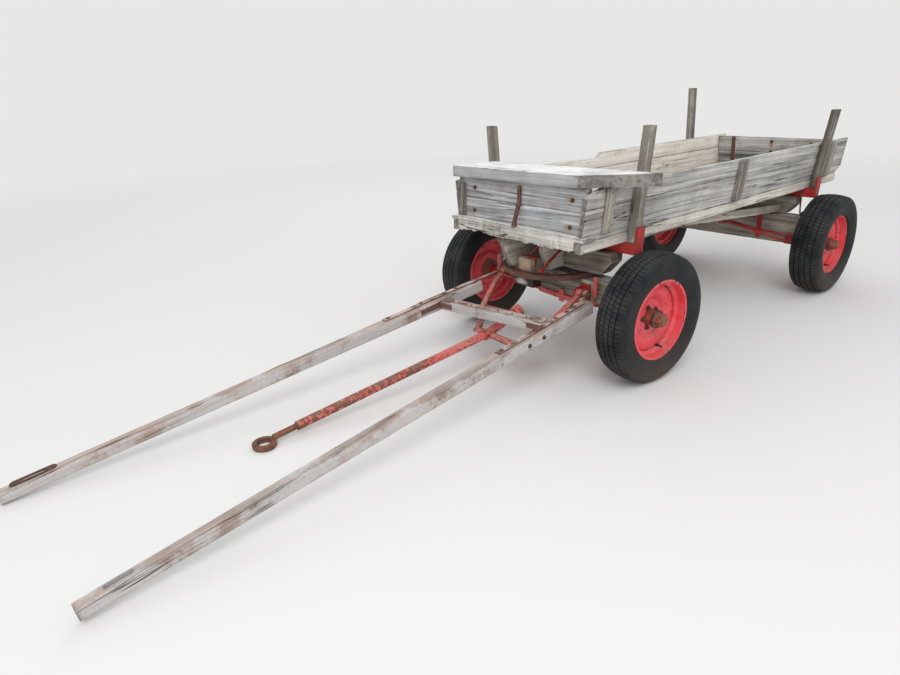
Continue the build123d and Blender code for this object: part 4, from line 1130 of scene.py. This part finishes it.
def setFasteners(name, body, style, finish, marks):
    mesh = bpy.data.meshes.new(name + "Marks")
    mesh.from_pydata([mark[0] for mark in marks], [], [])
    putAttribute(mesh, "facing", "FLOAT_VECTOR", [mark[1] for mark in marks])
    putAttribute(mesh, "size", "FLOAT", [mark[2] for mark in marks])
    piece = addObject(name, mesh)
    modifier = piece.modifiers.new("heads", "NODES")
    modifier.node_group = fastenerTree
    sockets = {
        item.name: item.identifier for item in fastenerTree.interface.items_tree if item.in_out == "INPUT"
    }
    for label, value in zip(fastenerInputs, fastenerStyles[style]):
        modifier[sockets[label]] = value
    modifier[sockets["Seed"]] = fastenerSeed
    modifier[sockets["Finish"]] = materials[finish]
    plain = bpy.data.meshes.new_from_object(piece.evaluated_get(bpy.context.evaluated_depsgraph_get()))
    piece.modifiers.remove(modifier)
    piece.data = plain
    plain.name = name
    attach(piece, body)
    return piece


frontMarks = [((x, -0.257, z), (0, -1, 0), 0.72) for x, z in frontNuts]
tailMarks = [((x, 2.480, z), (0, -1, 0), 0.8) for x, z in tailBolts]
setFasteners("boxNuts", "bed", "hexNut", "darkIron", frontMarks + tailMarks)
boardLean = 5  # degrees that the side boards lean out
battenNails, lean = [], math.tan(math.radians(boardLean))
for side in (-1, 1):
    for battenY, halfWidth in ((-0.142, 0.016), (1.080, 0.028), (2.332, 0.018)):
        for height, turn in ((0.772, 1), (0.786, -1), (0.872, 1), (0.921, -1)):
            wobble = 0.006 * math.sin(height * 97 + battenY * 31 + turn)
            face = 0.442 + (height - 0.716) * lean + 0.0235
            battenNails.append(
                (
                    (side * face, battenY + turn * halfWidth * 0.7 + wobble, height + wobble),
                    (side, 0, -0.087), 0.9
                )
            )
seatNails = [
    ((x, y, 1.0120 - (0.4358 - x) * 0.01222), (0, 0, 1), 1.0) for x,
    y in ((0.183, -0.06), (0.36, -0.19), (0.43, -0.09), (-0.30, -0.26), (-0.31, -0.12), (0.05, -0.27))
]
setFasteners("boxNails", "bed", "nailHead", "darkIron", battenNails + seatNails)
shaftMarks = []
for side, lag in ((1, 0.0), (-1, 0.095)):
    for ahead, size in ((0.455, 1.0), (0.300, 0.9), (0.215, 0.9)):
        toe = 0.016 * min(1.0, max(0.0, (ahead - 0.09) / 0.38))
        shaftMarks.append((shaftSpot(side * (0.350 + toe), ahead + lag, -0.0062), shaftUp, size))
    shaftMarks.append((shaftSpot(side * 0.369, 0.672 + lag, -0.0085), shaftUp, 0.9))
setFasteners("strapBolts", "shafts", "domeHead", "darkRust", shaftMarks)
sideNuts = [
    (shaftSpot(shaftMiddle(1, ahead) + 0.0292, ahead, -0.047), (1, 0, 0), 0.75) for ahead in (0.42, 0.52)
]
setFasteners("shaftSideNuts", "shafts", "hexNut", "darkIron", sideNuts)
barRivets = [
    (shaftSpot(0.30 - 0.6 * step / 7, 0.335 + 0.09 * step / 7, -0.018), shaftUp, 0.55) for step in range(8)
]
setFasteners("crossbarRivets", "shafts", "domeHead", "darkIron", barRivets)


# tyres, turned from a section with tread grooves and slanted cuts
tyreSettings = {
    "pitches": 88,
    "cutShare": 0.15,
    "cutDepth": 0.0040,
    "grooveDepth": 0.0065,
    "grooves": (-0.27, -0.09, 0.09, 0.27),
    "grooveHalf": 0.017,
    "slant": 0.55,
    "treadHalf": 0.40,
    "crown": 0.010,
    "sharp": 32,
    "cutSlope": 0.045,  # of a pitch, the run of a cut's wall
    "landMiddle": 0.6,
    "skewBend": 2.2,
    # share of the half width, share of the side's height
    "sidePoints": (
        (0.80, 0.03), (0.84, 0.06), (0.88, 0.16), (0.965, 0.34), (0.995, 0.50), (1.0, 0.56), (0.99, 0.66),
        (0.955, 0.76), (0.93, 0.80), (0.93, 0.815), (0.905, 0.86)
    ),
    "ribShares": (0.0, 0.12, 0.5, 0.88, 1.0),
    "ribRound": 0.0008,
}


def wheelAxis(corner):
    joint = next(each for each in frame["joints"] if each["name"] == "spin_" + corner)
    return Vector(joint["pos_m"]), Vector(joint["axis"]).normalized()


def tyreSection(width, outer, bead, settings):
    # points across the tyre as shares of its width and radius, with what cuts reach them
    points = []
    half = width / 2
    side = outer - bead

    def put(across, radius, kind):
        points.append((across, radius, kind))

    put(-half * 0.72, bead, "plain")
    for across, share in settings["sidePoints"]:
        put(-half * across, bead + side * share, "side")
    edge = settings["treadHalf"] * width
    put(-edge * 1.075, outer - settings["crown"] * 1.55, "shoulder")
    put(-edge * 1.02, outer - settings["crown"] * 1.05, "cut")
    stops = [-1.0]
    for groove in settings["grooves"]:
        stops += [groove - settings["grooveHalf"], groove + settings["grooveHalf"]]
    stops.append(1.0)
    for index in range(0, len(stops), 2):
        low = stops[index] * width if index else -edge
        high = stops[index + 1] * width if index + 2 < len(stops) else edge
        for share in settings["ribShares"]:
            across = low + (high - low) * share
            radius = outer - settings["crown"] * (across / edge) ** 2
            put(
                across, radius - (settings["ribRound"] if share in (0.0, 1.0) else 0.0),
                "cut" if 0 < share < 1 else "rib"
            )
        if index + 2 < len(stops):
            nextLow = stops[index + 2] * width
            for share in (0.12, 0.88):
                across = high + (nextLow - high) * share
                put(
                    across, outer - settings["crown"] * (across / edge) ** 2 - settings["grooveDepth"],
                    "groove"
                )
    oneSide = len(settings["sidePoints"]) + 3
    mirrored = [(-across, radius, kind) for across, radius, kind in points[:oneSide]]
    return points + mirrored[::-1]


def makeTyre(corner, settings):
    nodeName = "tyre_" + corner
    centre, axis = wheelAxis(corner)
    source = np.array([tuple(vert.co) for vert in frame["nodes"][nodeName].data.vertices])
    offset = source - np.array(centre)
    across = offset @ np.array(axis)
    radial = np.linalg.norm(offset - np.outer(across, np.array(axis)), axis=1)
    width, outer, bead = across.max() - across.min(), radial.max() - 0.0003, radial.min() + 0.002
    middle = (across.max() + across.min()) / 2
    upDirection = (Vector((0, 0, 1)) - axis * axis.z).normalized()
    sideDirection = axis.cross(upDirection).normalized()
    section = tyreSection(width - 0.001, outer, bead, settings)
    pitch = 2 * math.pi / settings["pitches"]
    angles = []
    for index in range(settings["pitches"]):
        start = index * pitch
        slope, cutEnd = settings["cutSlope"], settings["cutShare"]
        for share, low in ((0.0, 0), (slope, 1), (cutEnd - slope, 1), (cutEnd, 0), (settings["landMiddle"], 0)):
            angles.append((start + share * pitch, low))
    verts, faces, tread = [], [], []
    for angle, low in angles:
        for place, radius, kind in section:
            skew = settings["slant"] * pitch * math.sin(place / (width / 2) * settings["skewBend"])
            cut = settings["cutDepth"] if low and kind == "cut" else 0.0
            if low and kind == "shoulder":
                cut = settings["cutDepth"] * 0.7
            turned = angle + skew
            reach = radius - cut
            spot = centre + axis * (middle + place) + upDirection * (
                math.cos(turned) * reach
            ) + sideDirection * (math.sin(turned) * reach)
            verts.append(tuple(spot))
            # the third value marks the floors of grooves and cuts, where the rubber gets painted shade
            tread.extend((radius, place, 1.0 if kind == "groove" or (low and kind == "cut") else 0.0))
    rows, count = len(angles), len(section)
    for row in range(rows):
        after = (row + 1) % rows
        for index in range(count):
            follow = (index + 1) % count
            faces.append(
                (row * count + index, row * count + follow, after * count + follow, after * count + index)
            )
    title = cornerTitle(corner) + "Tyre"
    mesh = bpy.data.meshes.new(title)
    mesh.from_pydata(verts, [], faces)
    putAttribute(mesh, "tyrePos", "FLOAT_VECTOR", tread)
    worked = bmesh.new()
    worked.from_mesh(mesh)
    bmesh.ops.recalc_face_normals(worked, faces=worked.faces)
    worked.to_mesh(mesh)
    worked.free()
    mesh.materials.append(materials["rubber"])
    shadeSmooth(mesh, settings["sharp"])
    tyre = addObject(title, mesh)
    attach(tyre, nodeBody[nodeName])
    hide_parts(nodeName)
    return tyre


def rubberMaterial(name):
    material, tree, shader, place, upward = startMaterial(name)
    parts = addNode(tree, "ShaderNodeSeparateXYZ", {0: readAttribute(tree, "tyrePos", "Vector")})
    radius, across, grooveShade = parts.outputs
    cloud = noiseTex(tree, place, 9.0, 4.0, 0.6)
    fine = noiseTex(tree, place, 130.0, 3.0, 0.65)
    onTread = ramp(tree, radius, 0.298, 0.312)
    dust = ramp(tree, timesPlus(tree, fine, 0.45, cloud), 0.56, 0.92)
    dust = times(tree, dust, timesPlus(tree, onTread, 0.25, 0.30))
    low = addNode(tree, "ShaderNodeSeparateXYZ", {0: place}).outputs[2]
    mud = ramp(tree, timesPlus(tree, cloud, 0.35, low), 0.42, 0.16)
    base = addLayers(tree, mixColour(tree, cloud, colour(14, 15, 18), colour(33, 36, 40)), [
        (dust, 0.55, (92, 91, 89)),
        (mud, minus(tree, 0.50, times(tree, onTread, 0.3)), (92, 78, 64)),
        # painted shade: the floors of the grooves and cuts are darkened near black
        (grooveShade, 0.75, (9, 10, 12)),
    ])
    tree.links.new(base, shader.inputs["Base Color"])
    tree.links.new(timesPlus(tree, cloud, 0.25, 0.55), shader.inputs["Roughness"])
    bandLine = addNode(
        tree, "ShaderNodeTexWave",
        {"Vector": addNode(tree, "ShaderNodeCombineXYZ", {0: radius}).outputs[0], "Scale": 26.0},
        bands_direction="X", wave_profile="SIN"
    ).outputs["Fac"]
    height = timesPlus(tree, fine, 0.5, times(tree, bandLine, minus(tree, 0.5, times(tree, onTread, 0.5))))
    bump = addNode(tree, "ShaderNodeBump", {"Height": height, "Strength": 0.4, "Distance": 0.0012})
    tree.links.new(bump.outputs[0], shader.inputs["Normal"])
    shader.inputs["Specular IOR Level"].default_value = 0.28
    return material


wheelSettings = {
    "bolts": 5, "firstBolt": 0.25, "ringSides": 32, "ringInner": 0.0385, "boltCircle": 0.053,
    "discFace": -0.0042, "ringRadius": 0.0445, "ringStart": 0.0365, "ringEnd": 0.0475, "valveTurn": 3.48,
    "valveCircle": 0.166, "valveFace": 0.012
}


def dressWheel(corner, settings):
    # cone seats with their nuts, the valve, and the grey ring round the hub
    centre, axis = wheelAxis(corner)
    outward = axis if axis.x * centre.x > 0 else -axis
    upright = (Vector((0, 0, 1)) - axis * axis.z).normalized()
    sideways = outward.cross(upright)
    marks = []
    for step in range(settings["bolts"]):
        turn = 2 * math.pi * (step + settings["firstBolt"]) / settings["bolts"]
        spot = centre + outward * settings["discFace"] + (
            upright * math.cos(turn) + sideways * math.sin(turn)
        ) * settings["boltCircle"]
        marks.append((tuple(spot), tuple(outward), 1.0))
    title, body = cornerTitle(corner), "wheel_" + corner
    setFasteners(title + "Cones", body, "wheelCone", "darkRust", marks)
    setFasteners(title + "Nuts", body, "wheelNut", "darkIron", marks)
    turn = settings["valveTurn"]
    spot = centre + outward * settings["valveFace"] + (
        upright * math.cos(turn) + sideways * math.sin(turn)
    ) * settings["valveCircle"]
    setFasteners(title + "Valve", body, "valveStub", "rubberStub", [(tuple(spot), tuple(outward), 1.0)])
    built = bmesh.new()
    sides, inner, outer = settings["ringSides"], settings["ringInner"], settings["ringRadius"]
    start, end = settings["ringStart"], settings["ringEnd"]
    sections, loops = ((inner, start), (outer, start), (outer, end), (inner, end)), []
    for step in range(sides):
        turn = 2 * math.pi * step / sides
        radial = upright * math.cos(turn) + sideways * math.sin(turn)
        loops.append(
            [built.verts.new(centre + radial * radius + outward * reach) for radius, reach in sections]
        )
    for step in range(sides):
        here, follow = loops[step], loops[(step + 1) % sides]
        for index in range(len(sections)):
            after = (index + 1) % len(sections)
            built.faces.new((here[index], here[after], follow[after], follow[index]))
    finishPiece(title + "HubRing", built, body, "darkIron")


materials["rubber"] = rubberMaterial("rubber")
materials["rubberStub"] = ironMaterial(
    "rubberStub", rustGroup, {"Base": (26, 26, 28), "Bright": (52, 50, 48)}, 0.25
)
for corner in ("front_left", "front_right", "rear_left", "rear_right"):
    makeTyre(corner, tyreSettings)
    dressWheel(corner, wheelSettings)
print("tyres done")


# floor, world and lamps
stageSettings = {
    "floorReach": 90, "floorDrop": 0.0006, "pale": (0.80, 0.80, 0.79, 1.0), "near": 4.0, "far": 12.0,
    "sky": 0.75, "keyPower": 300.0, "fillPower": 100.0
}


def makeStage(settings):
    floor = bpy.data.meshes.new("studioFloor")
    reach, drop = settings["floorReach"], -settings["floorDrop"]
    corners = [(x * reach, y * reach, drop) for x, y in ((-1, -1), (1, -1), (1, 1), (-1, 1))]
    floor.from_pydata(corners, [], [(0, 1, 2, 3)])
    addObject("studioFloor", floor)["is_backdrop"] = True
    material = bpy.data.materials.new("studioPale")
    material.use_nodes = True
    tree = material.node_tree
    tree.nodes.clear()
    matt = addNode(tree, "ShaderNodeBsdfDiffuse", {"Color": settings["pale"]})
    glow = addNode(tree, "ShaderNodeEmission", {"Color": settings["pale"], "Strength": 1.0})
    place = addNode(tree, "ShaderNodeTexCoord").outputs["Object"]
    away = vectorCalc(tree, "LENGTH", place, output="Value")
    share = times(
        tree, ramp(tree, away, settings["near"], settings["far"]),
        addNode(tree, "ShaderNodeLightPath").outputs["Is Camera Ray"]
    )
    blend = addNode(tree, "ShaderNodeMixShader", {0: share, 1: matt.outputs[0], 2: glow.outputs[0]})
    addNode(tree, "ShaderNodeOutputMaterial", {"Surface": blend.outputs[0]})
    floor.materials.append(material)

    world = bpy.data.worlds.new("studioWorld")
    bpy.context.scene.world = world
    world.use_nodes = True
    sky = world.node_tree
    sky.nodes.clear()
    seen = addNode(sky, "ShaderNodeBackground", {"Color": settings["pale"], "Strength": 1.0})
    light = addNode(sky, "ShaderNodeBackground", {"Color": (1.0, 1.0, 1.0, 1.0), "Strength": settings["sky"]})
    path = addNode(sky, "ShaderNodeLightPath")
    shown = calc(sky, "MAXIMUM", path.outputs["Is Camera Ray"], path.outputs["Is Glossy Ray"])
    both = addNode(sky, "ShaderNodeMixShader", {0: shown, 1: light.outputs[0], 2: seen.outputs[0]})
    addNode(sky, "ShaderNodeOutputWorld", {"Surface": both.outputs[0]})

    lamps = (
        ("keyLamp", (4.5, -4.0, 6.5), settings["keyPower"], 5.0),
        ("fillLamp", (-6.0, 3.0, 6.0), settings["fillPower"], 6.0),
    )
    for name, place, power, size in lamps:
        data = bpy.data.lights.new(name, "AREA")
        data.energy = power
        data.size = size
        lamp = addObject(name, data)
        aim = (Vector((0, 0, 0.4)) - Vector(place)).to_track_quat("-Z", "Y")
        lamp.matrix_world = Matrix.Translation(place) @ aim.to_matrix().to_4x4()


makeCamera(cameraSettings)
makeStage(stageSettings)
bpy.context.scene.view_settings.view_transform = "Standard"
triangles = sum(len(each.data.loop_triangles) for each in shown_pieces() if not each.data.calc_loop_triangles())
print("triangles:", triangles)
